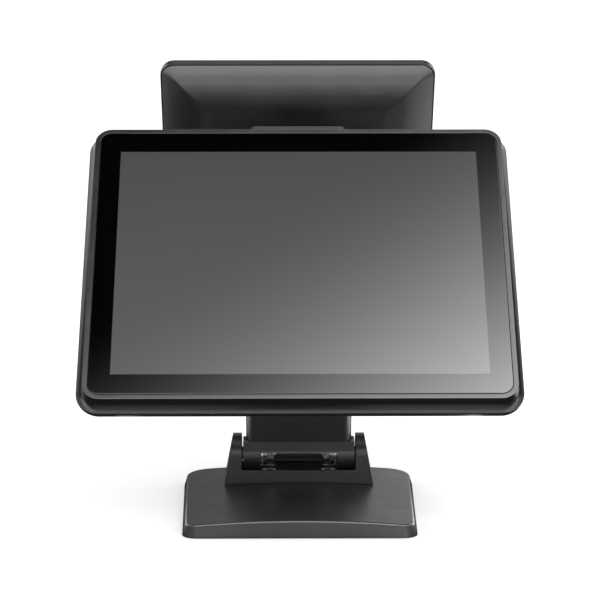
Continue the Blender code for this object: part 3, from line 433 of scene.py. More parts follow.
def hollowed(mesh, wall):
    return baked(mesh, ("SOLIDIFY", {"thickness": wall, "offset": -1, "use_even_offset": True}))


def cut(mesh, *tools, operation="DIFFERENCE"):
    steps = [("BOOLEAN", {"operation": operation, "solver": "EXACT", "object": tool}) for tool in tools]
    return baked(mesh, *steps)


def join(mesh, *tools):
    return cut(mesh, *tools, operation="UNION")


def through(mesh, places, radius, axis_turn=Matrix(), length=40):
    """The mesh with a round hole at each place."""
    profile = [(0, length / 2), (radius, length / 2), (radius, -length / 2), (0, -length / 2)]
    tools = [lathe(profile, steps=28, place=Matrix.Translation(p) @ axis_turn) for p in places]
    return cut(mesh, merged(tools))


def rounded(mesh, width, segments=3, angle=40):
    """The mesh with its sharp edges rounded, once faces that lie in one plane are merged."""
    bm = bmesh.new()
    bm.from_mesh(mesh)
    bmesh.ops.remove_doubles(bm, verts=bm.verts, dist=0.02)
    bmesh.ops.dissolve_limit(bm, angle_limit=math.radians(0.6), verts=bm.verts, edges=bm.edges)
    settings = {"width": width, "segments": segments, "limit_method": "ANGLE",
                "angle_limit": math.radians(angle), "miter_outer": "MITER_ARC"}
    return baked(finished(bm), ("BEVEL", settings))


def merged(meshes):
    """Several closed meshes as one."""
    bm = bmesh.new()
    for mesh in meshes:
        bm.from_mesh(mesh)
    return finished(bm)


def piece(name, mesh, slot, body, stands_for=(), at=Matrix(), angle=38, material=None):
    """A visible piece, from a mesh in its body's own frame, shaded smooth up to an angle."""
    mesh.name = name
    mesh.materials.clear()
    mesh.materials.append(material or FINISHES[slot])
    mesh.shade_smooth()
    mesh.set_sharp_from_angle(angle=math.radians(angle))
    mesh.transform(FRAMES[body] @ UNIT @ at)
    made = bpy.data.objects.new(name, mesh)
    bpy.context.scene.collection.objects.link(made)
    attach(made, body)
    if stands_for:
        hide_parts(*stands_for)
    weighted = made.modifiers.new("normals", "WEIGHTED_NORMAL")
    weighted.keep_sharp = True


# -------- base

BASE_DEPTH = 192.0
FRONT_WIDTH = 192.5
REAR_WIDTH = 203.5
EDGE_TOP = 9.6
CROWN = 5.0


def base_box(name):
    """The CAD box of a node of the base, in the base's own frame."""
    return [(BASE @ UNIT).inverted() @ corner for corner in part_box(name)]


def base_top(x):
    return EDGE_TOP + CROWN * (1 - (2 * x / REAR_WIDTH) ** 2)


def base_outline(inset):
    front, rear, half = FRONT_WIDTH / 2 - inset, REAR_WIDTH / 2 - inset, BASE_DEPTH / 2 - inset
    corners = [(-front, -half), (front, -half), (rear, half), (-rear, half)]
    return rounded_polygon(corners, [12 - inset] * 2 + [20 - inset] * 2, cuts=16)


def make_base():
    draft, edge, skirt = 2.2, 2.0, 1.0
    rings = [flat(base_outline(0), 0.4), flat(base_outline(0), skirt)]
    for share in (0.25, 0.5, 0.75):
        side = base_outline(draft * share)
        rings.append([Vector((x, y, skirt + (base_top(x) - edge - skirt) * share)) for x, y in side])
    for inwards, down in quarter(edge, 8):
        rings.append([Vector((x, y, base_top(x) - down)) for x, y in base_outline(draft + inwards)])
    inner = base_outline(draft + edge)
    for grow in (0.985, 0.93, 0.85, 0.75, 0.63, 0.5, 0.37, 0.24, 0.12):
        rings.append([Vector((x * grow, y * grow, base_top(x * grow))) for x, y in inner])
    rings.append([sum(rings[-1], Vector()) / len(inner)])
    piece("base_shell", hollowed(loft(rings), WALL), "black_abs", "base", ["base_cover"])


def make_pads():
    """Round rubber feet, each with three ridges under it."""
    edge, turns = 0.9, (0.5, 1.0, math.pi / 2)
    for name in ("front_left", "front_right", "rear_left", "rear_right"):
        low, high = base_box("foot_" + name)
        radius, height = (high.x - low.x) / 2, high.z - low.z
        profile = [(0, height), (radius, height), (radius, edge)]
        profile += [(radius - edge * (1 - math.cos(t)), edge * (1 - math.sin(t))) for t in turns]
        for ridge in (radius - 2.2, radius - 4.2, radius - 6.2):
            profile += [(ridge + 0.4, 0), (ridge, 0.35), (ridge - 0.4, 0)]
        profile.append((0, 0))
        at = Matrix.Translation(((low.x + high.x) / 2, (low.y + high.y) / 2, low.z))
        piece("pad_" + name, lathe(profile, steps=40), "rubber", "base", ["foot_" + name], at)


def make_base_plates():
    low, high = base_box("base_plate")
    mesh = rounded(slab(base_outline(4.7), low.z, high.z, flat), 0.3, 2, 60)
    mesh = through(mesh, [(x, y, low.z) for x in (-52, 52) for y in (-60, 60)], 3.2)
    piece("floor_plate", mesh, "black_steel", "base", ["base_plate"])
    low, high = base_box("ballast_plate")
    mesh = rounded(slab(rounded_rect(high.x, low.y, high.y, 6), low.z, high.z, flat), 0.5, 2, 60)
    piece("ballast", mesh, "zinc_steel", "base", ["ballast_plate"])


# -------- hardware

SHAFT = 3.0
BORE = 3.3
SHANK = 2.0
SCREW_HOLE = 2.3
SMALL_HEAD = (3.6, 2.0)
MOUNT_HEAD = (4.0, 2.2)
OUTWARD = Matrix.Rotation(-math.pi / 2, 4, "X")      # turns +Z onto +Y
SIDES = (("left", -1), ("right", 1))


def thread(radius, top, bottom, pitch=0.7):
    """Ridges down a shank."""
    points = []
    for k in range(int((top - bottom) / pitch)):
        points += [(radius, top - k * pitch), (radius - pitch * 0.35, top - (k + 0.5) * pitch)]
    return points


def pan_screw(name, node_name, body, head, length, at):
    """A cross-head screw, its seat at the origin and its head along +Z."""
    radius, height = head
    profile = [(0, height)]
    for degrees in (25, 37.5, 50, 62.5, 75, 87.5):
        turn = math.radians(degrees)
        profile.append((radius * math.sin(turn), height * (0.4 + 0.6 * math.cos(turn))))
    profile += [(radius, height * 0.35), (radius, 0.12), (radius - 0.12, 0), (SHANK, 0)]
    profile += thread(SHANK, -0.4, 0.8 - length) + [(SHANK * 0.6, -length), (0, -length)]
    arm, slot, deep_end, over = radius * 0.6, 0.45, height * 0.35, height * 2
    mesh = cut(lathe(profile, steps=28), box((-arm, -slot, deep_end), (arm, slot, over)),
               box((-slot, -arm, deep_end), (slot, arm, over)))
    piece(name, mesh, "zinc_steel", body, [node_name], at)


def hinge_bolt(side, head_x, head_thick, tip_x, z):
    """A shaft with a slotted head outermost and a thread at its tip."""
    length, head = head_x - tip_x, 5.5
    profile = [(0, 0), (head - 0.4, 0), (head, -0.4), (head, 0.2 - head_thick)]
    profile += [(head - 0.2, -head_thick), (SHAFT, -head_thick), (SHAFT, -length * 0.45)]
    profile += thread(SHAFT, -length * 0.5, 0.9 - length, 0.8) + [(SHAFT - 0.6, -length), (0, -length)]
    mesh = cut(lathe(profile, steps=36), box((-7, -0.5, -0.8), (7, 0.5, 1)))
    mesh.transform(along_x(side * head_x, 0, z, side))
    return mesh


def spring_washers(side, low, high, z):
    """Four disc springs, laid in turn one way and the other."""
    outer, half = 6.5, (high - low) / 2
    pitch = half / 2
    profile = [(BORE, half)]
    for k, lift in enumerate((0, 0.25, 0, 0.25)):
        top = half - k * pitch
        profile += [(outer - 0.3, top - 0.05 - lift), (outer, top - 0.15 - lift),
                    (outer, top - pitch + 0.3 - lift / 2), (outer - 1.2, top - pitch + 0.1)]
    profile += [(BORE, -half)]
    return lathe(profile, closed=True, steps=40, place=along_x(side * (low + high) / 2, 0, z, side))


def hex_nut(side, low, high, z):
    """A chamfered hexagon nut with a locking collar."""
    flat_radius, half = 5.0, (high - low) / 2
    corner = flat_radius / math.cos(math.pi / 6)
    cone = [(0, half), (flat_radius * 0.96, half), (corner + 0.1, half - 0.6)]
    cone += [(r, -h) for r, h in reversed(cone)]
    collar = [(7, half - 1.0), (4.7, half - 1.0), (4.7, half - 1.25), (7, half - 1.25)]
    half_facet = Matrix.Rotation(math.pi / TURN, 4, "Z")
    body = cut(rod(corner, -2 * half, 2 * half, steps=6), lathe(cone, place=along_x() @ half_facet),
               operation="INTERSECT")
    body = cut(body, rod(BORE, -10, 10), lathe(collar, closed=True, place=along_x()))
    body.transform(Matrix.Translation((side * (low + high) / 2, 0, z)))
    return body


def make_hinge_sets():
    for level, z, head_x, head_thick, springs, nut in (
        ("lower", 0, 44.7, 2.1, (27.0, 30.7), (21.5, 26.7)),
        ("upper", NECK_LENGTH, 51.2, 1.8, (36.5, 40.0), (31.0, 36.2)),
    ):
        for end, side in SIDES:
            for made, node_name, mesh in (
                ("bolt", "shaft", hinge_bolt(side, head_x, head_thick, nut[0] - 1.5, z)),
                ("springs", "washers", spring_washers(side, *springs, z)),
                ("locknut", "nut", hex_nut(side, *nut, z)),
            ):
                piece(f"{level}_{made}_{end}", mesh, "zinc_steel", "neck", [f"{level}_{node_name}_{end}"])


# -------- lower hinge

HINGE = Matrix.Translation((0, (LOWER_AXIS.y - BASE.translation.y) / MM, 0))      # under the lower axis
AXIS_Z = LOWER_AXIS.z / MM
EAR_INNER = 49.5
EAR_TOP = 57.0
EAR_FOOT = 67.2
EAR_RADIUS = 17.0
EAR_CENTRE = 38.0
DECK_TOP = 18.5
LIP_TOP = 25.6
DECK_SCREW = (25.2, 8.0)


def ear(side, inset):
    """A slab upright inside, leaning in outside."""
    foot = 4
    outline = [(inset - EAR_RADIUS, foot)]
    outline += bend(EAR_RADIUS - inset, 180, 0, 40, (0, EAR_CENTRE))
    outline.append((24 - inset, foot))
    inner = [Vector((side * (EAR_INNER + inset), y, z)) for y, z in outline]
    outer = []
    for y, z in outline:
        share = z / (EAR_CENTRE + EAR_RADIUS)
        outer.append(Vector((side * (EAR_FOOT * (1 - share) + EAR_TOP * share - inset), y, z)))
    return solid([inner, outer])


def make_saddle():
    reach, front, rear, lip = EAR_INNER + 2, -EAR_RADIUS, EAR_RADIUS, 3.0
    bars = [box((-reach, front, 6), (reach, rear + lip, DECK_TOP)),
            box((-reach, front, 8), (reach, front + lip, LIP_TOP)),
            box((-reach, rear, 8), (reach, rear + lip, LIP_TOP))]
    saddle = rounded(join(ear(-1, 0), ear(1, 0), *bars), 0.8)
    half, below = 75, -10
    under = [(-half, below), (half, below)]
    under += [(x, base_top(x) + GAP) for x in (half - half * k / 24 for k in range(49))]
    bosses = [rod(6, side * 48.6, side * 50.5, z=AXIS_Z) for side in (-1, 1)]
    saddle = cut(join(saddle, *bosses), ear(-1, WALL), ear(1, WALL), slab(under, -50, 50))
    x, y = DECK_SCREW
    saddle = through(saddle, [(a * x, b * y, DECK_TOP) for a in (-1, 1) for b in (-1, 1)], SCREW_HOLE)
    piece("saddle_shell", saddle, "black_abs", "base", ["hinge_saddle"], HINGE)


def make_brackets():
    seat, inner, outer, thick = DECK_TOP + GAP, 31.0, 33.2, 2.5
    wall = [(5, seat)] + bend(7.5, -40, 220, 30, (0, AXIS_Z)) + [(-5, seat)]
    screw_x, screw_y = DECK_SCREW
    for word, side in SIDES:
        inside_x, outside_x = sorted((side * 20.2, side * 32))
        foot = [(inside_x, -12), (outside_x, -12), (outside_x, 12), (inside_x, 12)]
        foot = rounded_polygon(foot, [2.5 if abs(x) < 25 else 0.6 for x, y in foot], 6)
        mesh = join(slab(wall, side * inner, side * outer, sideways), slab(foot, seat, seat + thick, flat))
        mesh = cut(rounded(mesh, 0.3, 2), rod(BORE, side * inner - 10, side * inner + 10, z=AXIS_Z))
        mesh = through(mesh, [(side * screw_x, y, seat) for y in (-screw_y, screw_y)], SCREW_HOLE, length=8)
        piece(f"hinge_bracket_{word}", mesh, "zinc_steel", "base", [f"bracket_{word}"], HINGE)
        for row, y in (("front", -screw_y), ("rear", screw_y)):
            at = HINGE @ Matrix.Translation((side * screw_x, y, seat + thick + GAP))
            pan_screw(f"deck_screw_{word}_{row}", f"bracket_screw_{word}_{row}", "base", SMALL_HEAD, 9.8, at)


# -------- neck

NECK_HALF = 45.7
NECK_DEEP = 11.0
NECK_EDGE = 7.5
BARREL = 15.0
BARREL_HALF = 48.3
OPENING = math.radians(42)      # half the mouth at the back of the barrel


def neck_rings(inset, start):
    half_depth, half_width = NECK_DEEP - inset, NECK_HALF - inset
    sections = [(start, half_depth)]
    for k in range(13):
        turn = math.radians(6.5 * k)
        sections.append((NECK_LENGTH + half_depth * math.sin(turn), half_depth * math.cos(turn)))
    rings = []
    for z, depth in sections:
        radius = min(NECK_EDGE - inset, depth * 0.95)
        rings.append(flat(rounded_rect(half_width, -depth, depth, radius), z))
    return rings


def neck_half(side):
    """The front half for side -1, with a flat chin on the barrel, or the rear half for side 1."""
    lean, far = NECK.to_euler().x, 60
    hollow_half = BARREL_HALF - WALL
    body = join(solid(neck_rings(0, 4)), rod(BARREL, -BARREL_HALF, BARREL_HALF, steps=96))
    if side < 0:
        y0, y1, z0, z1 = -14.2, -2, -13.0, 13.6
        chin = rounded_polygon([(y0, z1), (y0, z0), (y1, z0), (y1, z1)], [0.3, 10.5, 0.5, 0.5], 16)
        chin = slab(chin, -BARREL_HALF, BARREL_HALF, sideways)
        chin.transform(Matrix.Rotation(-lean, 4, "X"))
        body = join(body, chin)
    wedge = [(0, 0)] + [(30 * math.sin(t), -30 * math.cos(t)) for t in (-lean - OPENING, OPENING - lean)]
    near_y, far_y = sorted((side * GAP / 2, -side * far))
    return cut(
        body,
        rod(BARREL - WALL, -hollow_half, hollow_half, steps=96),
        solid(neck_rings(WALL, 0)),
        slab(wedge, -hollow_half, hollow_half, sideways),
        box((-far, near_y, -far), (far, far_y, NECK_LENGTH + far)),
        rod(3.6, -far, far, z=NECK_LENGTH),
    )


def make_neck():
    window = rounded_polygon([(-33.3, -5.0), (33.3, -5.0), (33.3, 6.4), (-33.3, 6.4)], [0.8] * 4, 4)
    front = rounded(cut(neck_half(-1), slab(window, -30, -8)), 0.35, 2, 50)
    rear = rounded(neck_half(1), 0.35, 2, 50)
    piece("neck_front_shell", front, "black_abs", "neck", ["neck_front_cover"], angle=10)
    piece("neck_rear_shell", rear, "black_abs", "neck", ["neck_rear_cover"])


def make_spine():
    half, thick = 42.3, 2.0
    side = bend(7, 180, 360, 20) + bend(7, 0, 180, 20, (0, NECK_LENGTH))
    sides = [slab(side, s * half, s * (half - thick), sideways) for s in (-1, 1)]
    mesh = rounded(join(*sides, box((-half, 5.0, 22), (half, 6.8, 126))), 0.35, 2)
    windows = [slab(rounded_rect(26, z - 11, z + 11, 6, 8), 0, 12) for z in (38, 74, 110)]
    mesh = cut(mesh, merged(windows), rod(BORE, -60, 60), rod(BORE, -60, 60, z=NECK_LENGTH))
    piece("spine_channel", mesh, "zinc_steel", "neck", ["neck_spine"])


# -------- head

GLASS_W, GLASS_H, GLASS_T = 340.0, 267.0, 2.0
GLASS_R = 10.0
RIM = 4.6                # width of the bezel's flat rim
SIDE_FLARE = 5.4
END_FLARE = 4.4
HALF_W = GLASS_W / 2 + RIM + SIDE_FLARE
HALF_H = GLASS_H / 2 + RIM + END_FLARE
SPLIT = 15.0             # depth of the joint between bezel and housing
BACK = 45.0              # depth of the housing's back
BUTTON = (118.0, -60.0)
MOUNT_SCREW = 37.5
ARM_SCREW = (26.0, 90.5)
BAY_HALF = 88.0
BAY_TOP = -61.0
BAY_BOTTOM = -108.0


def deep(depth):
    """The head's own y at a depth behind the front of the glass."""
    return depth - AXIS_DEPTH


def mount_places(y):
    return [(x * MOUNT_SCREW, y, z * MOUNT_SCREW) for x in (-1, 1) for z in (-1, 1)]


def arm_places(y):
    return [(x * ARM_SCREW[0], y, ARM_SCREW[1]) for x in (-1, 1)]


def face_ring(grow, extra, depth):
    half = GLASS_H / 2 + grow
    return upright(rounded_rect(GLASS_W / 2 + grow + extra, -half, half, GLASS_R + grow, 16), deep(depth))


def make_glass():
    rings = [face_ring(0, 0, GLASS_T)] + [face_ring(-inwards, 0, down) for inwards, down in quarter(0.45, 4)]
    piece("screen_glass", solid(rings), "cover_glass", "head", ["touch_glass"])


def make_bezel():
    """A flat rim, then a side that goes straight back and flares out in a cove."""
    behind, face, cove, end = GLASS_T + GAP, 0.35, 4.8, SPLIT - GAP
    side, extra = RIM + END_FLARE, SIDE_FLARE - END_FLARE
    rings = [face_ring(grow, 0, depth) for grow, depth in
             ((GAP, behind), (GAP, face + 0.3), (GAP + 0.1, face + 0.08), (GAP + 0.25, face))]
    rings += [face_ring(RIM - b, 0, face + a) for a, b in quarter(0.6, 4)]
    rings.append(face_ring(RIM + 0.15, 0, cove))
    for t in (k / 10 for k in range(1, 11)):
        flare = 0.15 + (END_FLARE - 0.15) * (0.35 * t * t + 0.65 * t ** 3)
        rings.append(face_ring(RIM + flare, extra * flare / END_FLARE, cove + (end - 0.4 - cove) * t))
    rings += [face_ring(side - 0.35, extra, end), face_ring(side - WALL, extra, end)]
    rings += [face_ring(grow, 0, depth) for grow, depth in
              ((RIM - 2, 8.4), (RIM - 2, behind + 1.8), (-5, behind + 1.8), (-5, behind))]
    piece("bezel_frame", loft(rings, closed=True), "bezel_abs", "head", ["front_bezel"])


def housing_sections():
    """Rings of the housing as (depth, inset at the sides, below and above, corner radius)."""
    curve = [(17.4, 0, 0, 0, 19), (21.5, 1.2, 1.2, 1.2, 18), (25.7, 4.2, 4.2, 4.2, 16),
             (30.0, 10, 10, 8.5, 14), (32.5, 19, 19, 13.5, 12), (36.5, 32, 34.5, 18.5, 12),
             (42.0, 42, 44.5, 23.5, 12), (44.0, 45.5, 48, 26.5, 11)]
    columns = [smooth_curve([(row[0], row[k]) for row in curve], 4) for k in range(1, 5)]
    sections = [(SPLIT + 0.02, 0.35, 0.35, 0.35, 18.65), (SPLIT + 0.35, 0, 0, 0, 19)]
    sections += [(points[0].x, *(p.y for p in points)) for points in zip(*columns)]
    insets = sections[-1][1:4]
    for depth, step, radius in ((BACK - 0.25, 0.9, 10.5), (BACK, 2.2, 10)):
        sections.append((depth, *(inset + step for inset in insets), radius))
    return sections


def make_housing():
    rings = []
    for depth, side, low, high, radius in housing_sections():
        outline = rounded_rect(HALF_W - side, low - HALF_H, HALF_H - high, radius, 16)
        rings.append(upright(outline, deep(depth)))
    shell = hollowed(loft(rings, last=True), WALL)
    tools = [slab(rounded_rect(BAY_HALF, BAY_BOTTOM, BAY_TOP, 3, 6), deep(20), deep(70))]
    for z in (60, 68):
        for k in range(-4, 5):
            slot = [(x + k * 18, v) for x, v in rounded_rect(5.5, z - 1.8, z + 1.8, 1.79, 6)]
            tools.append(slab(slot, deep(40), deep(50)))
    shell = cut(shell, merged(tools))
    shell = through(shell, [(BUTTON[0], deep(BACK), BUTTON[1])], 6.9, OUTWARD, 12)
    shell = through(shell, mount_places(deep(BACK)) + arm_places(deep(BACK)), SCREW_HOLE, OUTWARD, 12)
    piece("housing_shell", shell, "black_abs", "head", ["rear_housing"])


def make_mount():
    front, thick, lug_in, lug_out = deep(BACK + GAP), 2.5, 46.1, 49.1
    back = front + thick
    lug = [(front + 1, -24), (front + 1, 24)] + bend(10, 65, -65, 28)
    lugs = [slab(lug, s * lug_in, s * lug_out, sideways) for s in (-1, 1)]
    mesh = rounded(join(slab(rounded_rect(55, -50, 50, 6), front, back), *lugs), 0.35, 2)
    mesh = cut(mesh, rod(BORE, -60, 60), slab(rounded_rect(22, -18, 18, 5), back - 0.8, back + 5))
    mesh = through(mesh, mount_places(back), SCREW_HOLE, OUTWARD, 8)
    piece("tilt_plate", mesh, "black_steel", "head", ["mount_plate"])
    for row, z in (("upper", MOUNT_SCREW), ("lower", -MOUNT_SCREW)):
        for word, side in SIDES:
            at = Matrix.Translation((side * MOUNT_SCREW, back + GAP, z)) @ OUTWARD
            pan_screw(f"plate_screw_{row}_{word}", f"mount_screw_{row}_{word}", "head", MOUNT_HEAD, 8.5, at)


def make_button():
    profile = [(0, -0.55), (2.4, -0.5), (4.2, -0.3), (5.2, -0.05), (5.7, 0), (6.1, -0.12), (6.4, -0.4),
               (6.5, -0.8), (6.5, -4.8), (8.5, -4.8), (8.5, -6.6), (0, -6.6)]
    at = Matrix.Translation((BUTTON[0], deep(BACK) + 2, BUTTON[1])) @ OUTWARD
    piece("power_cap", lathe(profile), "bezel_abs", "power_button", ["power_button"], at)


# -------- connectors

BAY_FLOOR = 27.2         # depth of the tray's floor
MOUTH = BAY_TOP - 1.5
PORT_Y = deep(BAY_FLOOR + 7.5)
USB = ((-3.1, 12.5, 4.8, 9), (3.1, 12.5, 4.8, 9))
PORTS = (
    # node, x, width, depth, length, sockets as (y, width, depth, length), contacts as (count, pitch), slot
    ("usb_ports_left", -44.0, 14.5, 12.5, 16, USB, None, "connector_shell"),
    ("usb_ports_right", -25.0, 14.5, 12.5, 16, USB, None, "connector_shell"),
    ("lan_port", -4.0, 16.0, 13.5, 18, ((0, 12.0, 9.0, 11),), (8, 1.02), "connector_shell"),
    ("serial_port", 19.0, 16.5, 12.5, 14, ((0, 13.0, 8.0, 7),), (10, 1.02), "connector_shell"),
    ("drawer_port", 43.0, 13.0, 12.5, 14, ((0, 9.5, 8.5, 10),), (6, 1.2), "connector_black"),
    ("power_inlet", -68.0, 12.5, 12.5, 14, (), None, "connector_black"),
)


def usb_socket(body, at, socket, tongues, gold):
    """Cuts a USB socket in the body, and adds its tongue and contacts to the lists."""
    y, width, depth, reach = socket
    tongues.append(box((-5.4, y - 1.9, 1.2), (5.4, y - 0.2, reach + 0.5), at))
    gold += [box((x - 0.45, y - 0.25, 1.6), (x + 0.45, y + 0.05, reach), at) for x in (-3.6, -1.2, 1.2, 3.6)]
    return cut(body, box((-width / 2, y - depth / 2, -3), (width / 2, y + depth / 2, reach), at))


def keyed_socket(body, at, socket, contacts, gold):
    """Cuts a socket for a latched plug in the body, and adds its contacts to the list."""
    y, width, depth, reach = socket
    count, pitch = contacts
    low, high = y - depth / 2, y + depth / 2
    for x in ((k - (count - 1) / 2) * pitch for k in range(count)):
        gold.append(box((x - 0.22, low - 0.2, 1.5), (x + 0.22, low + 0.6, reach + 0.3), at))
    return cut(body, box((-width / 2, low, -3), (width / 2, high, reach), at),
               box((-2.6, high - 0.5, -3), (2.6, high + 1.2, reach * 0.7), at))


def power_socket(body, at, gold):
    """Cuts a round socket in the body, and adds its pin to the list."""
    place = Matrix.Translation(at)
    pin = [(0, 0.9), (0.6, 1.0), (1.0, 1.6), (1.0, 8.5), (0, 8.5)]
    gold.append(lathe(pin, steps=24, place=place))
    return cut(body, lathe([(0, 8), (4.2, 8), (4.2, -4), (0, -4)], place=place))


def make_ports():
    """Makes the connectors. Returns the cuts that they need in the tray."""
    tray_cuts, tongues, gold = [], [], []
    for name, x, width, depth, length, sockets, contacts, slot in PORTS:
        at = (x, PORT_Y, MOUTH)
        body = rounded(box((-width / 2, -depth / 2, 0), (width / 2, depth / 2, length), at), 0.5)
        for socket in sockets:
            if contacts:
                body = keyed_socket(body, at, socket, contacts, gold)
            else:
                body = usb_socket(body, at, socket, tongues, gold)
        if not sockets:
            body = power_socket(body, at, gold)
        piece(name + "_body", body, slot, "head", [name])
        wide, high = width / 2 + 0.6, depth / 2 + 0.6
        tray_cuts.append(box((-wide, -high, -10), (wide, high, 10), at))
    piece("usb_tongues", merged(tongues), "connector_black", "head")
    piece("port_contacts", merged(gold), "connector_shell", "head", material=GOLD)
    return tray_cuts


def make_tray(tray_cuts):
    half, thick = BAY_HALF + 1, 1.2
    front, back = deep(BAY_FLOOR) - thick, deep(BAY_FLOOR)
    floor = box((-half, front, BAY_BOTTOM + 0.5), (half, back, BAY_TOP + thick))
    wall = box((-half, front, BAY_TOP), (half, deep(BACK) - WALL - GAP, BAY_TOP + thick))
    ribs = []
    for k in range(-3, 4):
        rib = [(x + k * 25, z) for x, z in rounded_rect(9, -104, -72, 2, 5)]
        ribs.append(slab(rib, back - 0.5, back + 2))
    tray = cut(rounded(join(floor, wall), 0.25, 2), *tray_cuts)
    piece("bay_tray", cut(tray, merged(ribs)), "zinc_steel", "head", ["io_tray"])


# -------- customer display

CUSTOMER_W, CUSTOMER_H = 244.0, 166.0
CUSTOMER_UP = 4.5        # from the axis up to the middle
CUSTOMER_FRONT = 36.0
CUSTOMER_R = 13.0
CUSTOMER_EDGE = 7.6      # depth of the joint between frame and shell
CUSTOMER_DEEP = 22.0


def customer_ring(inset, depth):
    radius = max(CUSTOMER_R - inset, 1.2)
    half_w, half_h = CUSTOMER_W / 2 - inset, CUSTOMER_H / 2 - inset
    outline = rounded_rect(half_w, CUSTOMER_UP - half_h, CUSTOMER_UP + half_h, radius)
    return upright(outline, CUSTOMER_FRONT - depth)


def customer_rings(pairs):
    return [customer_ring(inset, depth) for inset, depth in pairs]


def make_customer():
    glass, behind, end = 3.5, 1.9, CUSTOMER_EDGE - GAP
    rings = customer_rings([(glass - GAP, behind), (glass - GAP, 0.4), (glass - GAP - 0.3, 0.15)])
    rings += customer_rings([(b, 0.2 + a) for a, b in quarter(1.4, 4)])
    rings += customer_rings([(0, end - 0.5), (0.15, end - 0.15), (0.5, end), (2.2, end), (2.2, behind + 1.4),
                             (6.5, behind + 1.4), (6.5, behind)])
    piece("customer_frame", loft(rings, closed=True), "bezel_abs", "customer_display", ["customer_bezel"])
    rings = customer_rings([(glass, 1.6), (glass, 0.4), (glass + 0.12, 0.12), (glass + 0.4, 0)])
    piece("customer_screen", solid(rings), "cover_glass", "customer_display", ["customer_glass"],
          material=CUSTOMER_GLASS)
    curve = [(1.3, 8.2), (2.2, 8.9), (8, 11.8), (16, 15.1), (24, 17.8), (30, 19.4), (36, 20.7), (43, 21.7),
             (50, 22)]
    rings = customer_rings([(1.6, CUSTOMER_EDGE), (1.3, CUSTOMER_EDGE + 0.3)] + smooth_curve(curve, 6))
    shell = hollowed(loft(rings, last=True), 2.2)
    rings = []
    for grow, y in ((1.2, 1.0), (1.2, 0.0), (0.0, -3.4), (-0.2, -3.8), (-0.6, -4.0)):
        low, high = CUSTOMER_UP - 26 - grow, CUSTOMER_UP + 24.9 + grow
        outline = rounded_rect(43.6 + grow, low, high, 6 + grow)
        rings.append(upright(outline, CUSTOMER_FRONT - CUSTOMER_DEEP + y))
    shell = join(shell, solid(rings))
    piece("customer_shell", shell, "black_abs", "customer_display", ["customer_rear_cover"])


def make_arm():
    """A hollow arm from the housing's back to two knuckles on the customer display's axis."""
    half, wall, knuckle, foot = 35, 3, 9, deep(BACK + GAP)
    tip = (HEAD @ UNIT).inverted() @ CUSTOMER_AXIS
    tip = Vector((tip.y, tip.z))
    low, high = Vector((foot, 82.5)), Vector((foot, 111.5))
    along = (tip - (low + high) / 2).normalized()
    across = Vector((-along.y, along.x)) * 8
    mesh = join(slab([low, tip - across, tip + across, high], -half, half, sideways),
                rod(knuckle, -half, half, tip.x, tip.y, steps=64))
    end = tip - along * 16
    hollow = [Vector((foot + wall, low.y - 10)), end - across * 15 / 8, end + across * 0.55,
              Vector((foot + wall, high.y - 3.5))]
    mesh = cut(rounded(mesh, 1.4, 4), slab(hollow, wall - half, half - wall, sideways),
               rod(knuckle + 3.5, -25, 25, tip.x, tip.y, steps=64), rod(BORE, -60, 60, tip.x, tip.y))
    mesh = through(mesh, arm_places(foot), SCREW_HOLE, OUTWARD, 12)
    piece("display_arm", mesh, "black_abs", "head", ["customer_arm"])
    for (word, _), place in zip(SIDES, arm_places(foot + wall + GAP)):
        at = Matrix.Translation(place) @ OUTWARD
        pan_screw(f"arm_bolt_{word}", f"arm_screw_{word}", "head", SMALL_HEAD, 8.0, at)


def make_customer_hinge():
    half, face = 24.6, CUSTOMER_FRONT - CUSTOMER_DEEP - 4 - GAP
    mesh = join(box((-half, face - 2.5, -16), (half, face, 20)), rod(7.2, -half, half, steps=64),
                box((-half, 0, -6.6), (half, face - 1, 6.6)))
    mesh = cut(rounded(mesh, 0.5), rod(BORE, -60, 60))
    piece("turning_block", mesh, "black_steel", "customer_display", ["hinge_block"])
    end = 36.5
    profile = [(0, end), (2.2, end), (2.75, end - 0.2), (3, end - 0.6), (3, end - 1.2), (2.6, end - 1.3),
               (2.6, end - 1.7), (3, end - 1.8)]
    profile += [(r, -h) for r, h in reversed(profile)]
    piece("hinge_pin", lathe(profile, place=along_x()), "zinc_steel", "customer_display", ["customer_pin"])


# -------- studio

STUDIO_TOP = 1.4


def card(name, corner, across, up, strength, ramp=None):
    """A flat light that shows only in reflections; its strength may come from a ramp."""
    corner, across, up = Vector(corner), Vector(across), Vector(up)
    mesh = bpy.data.meshes.new(name)
    mesh.from_pydata([corner, corner + across, corner + across + up, corner + up], [], [(0, 1, 2, 3)])
    made = bpy.data.objects.new(name, mesh)
    bpy.context.scene.collection.objects.link(made)
    material = bpy.data.materials.new(name)
    material.use_nodes = True
    tree = material.node_tree
    tree.nodes.clear()
    glow = node(tree, "Emission", {"Strength": ramp(tree) if ramp else strength})
    tree.links.new(glow.outputs[0], node(tree, "OutputMaterial").inputs[0])
    mesh.materials.append(material)
    for kind in ("camera", "diffuse", "transmission", "volume_scatter", "shadow"):
        setattr(made, "visible_" + kind, False)


def coordinate(tree, axis):
    return node(tree, "SeparateXYZ", {0: where(tree)}).outputs[axis]


def overhead_ramp(tree):
    """Black at the rear left, brighter and brighter towards the front right."""
    across, back = times(tree, coordinate(tree, "X"), 0.9865), times(tree, coordinate(tree, "Y"), -1.544)
    level = math_node(tree, "ADD", math_node(tree, "ADD", across, back), -0.248)
    level = node(tree, "Clamp", {"Value": level, "Min": 0.0, "Max": 0.72}).outputs[0]
    return times(tree, math_node(tree, "POWER", level, 2.25), 22.0)


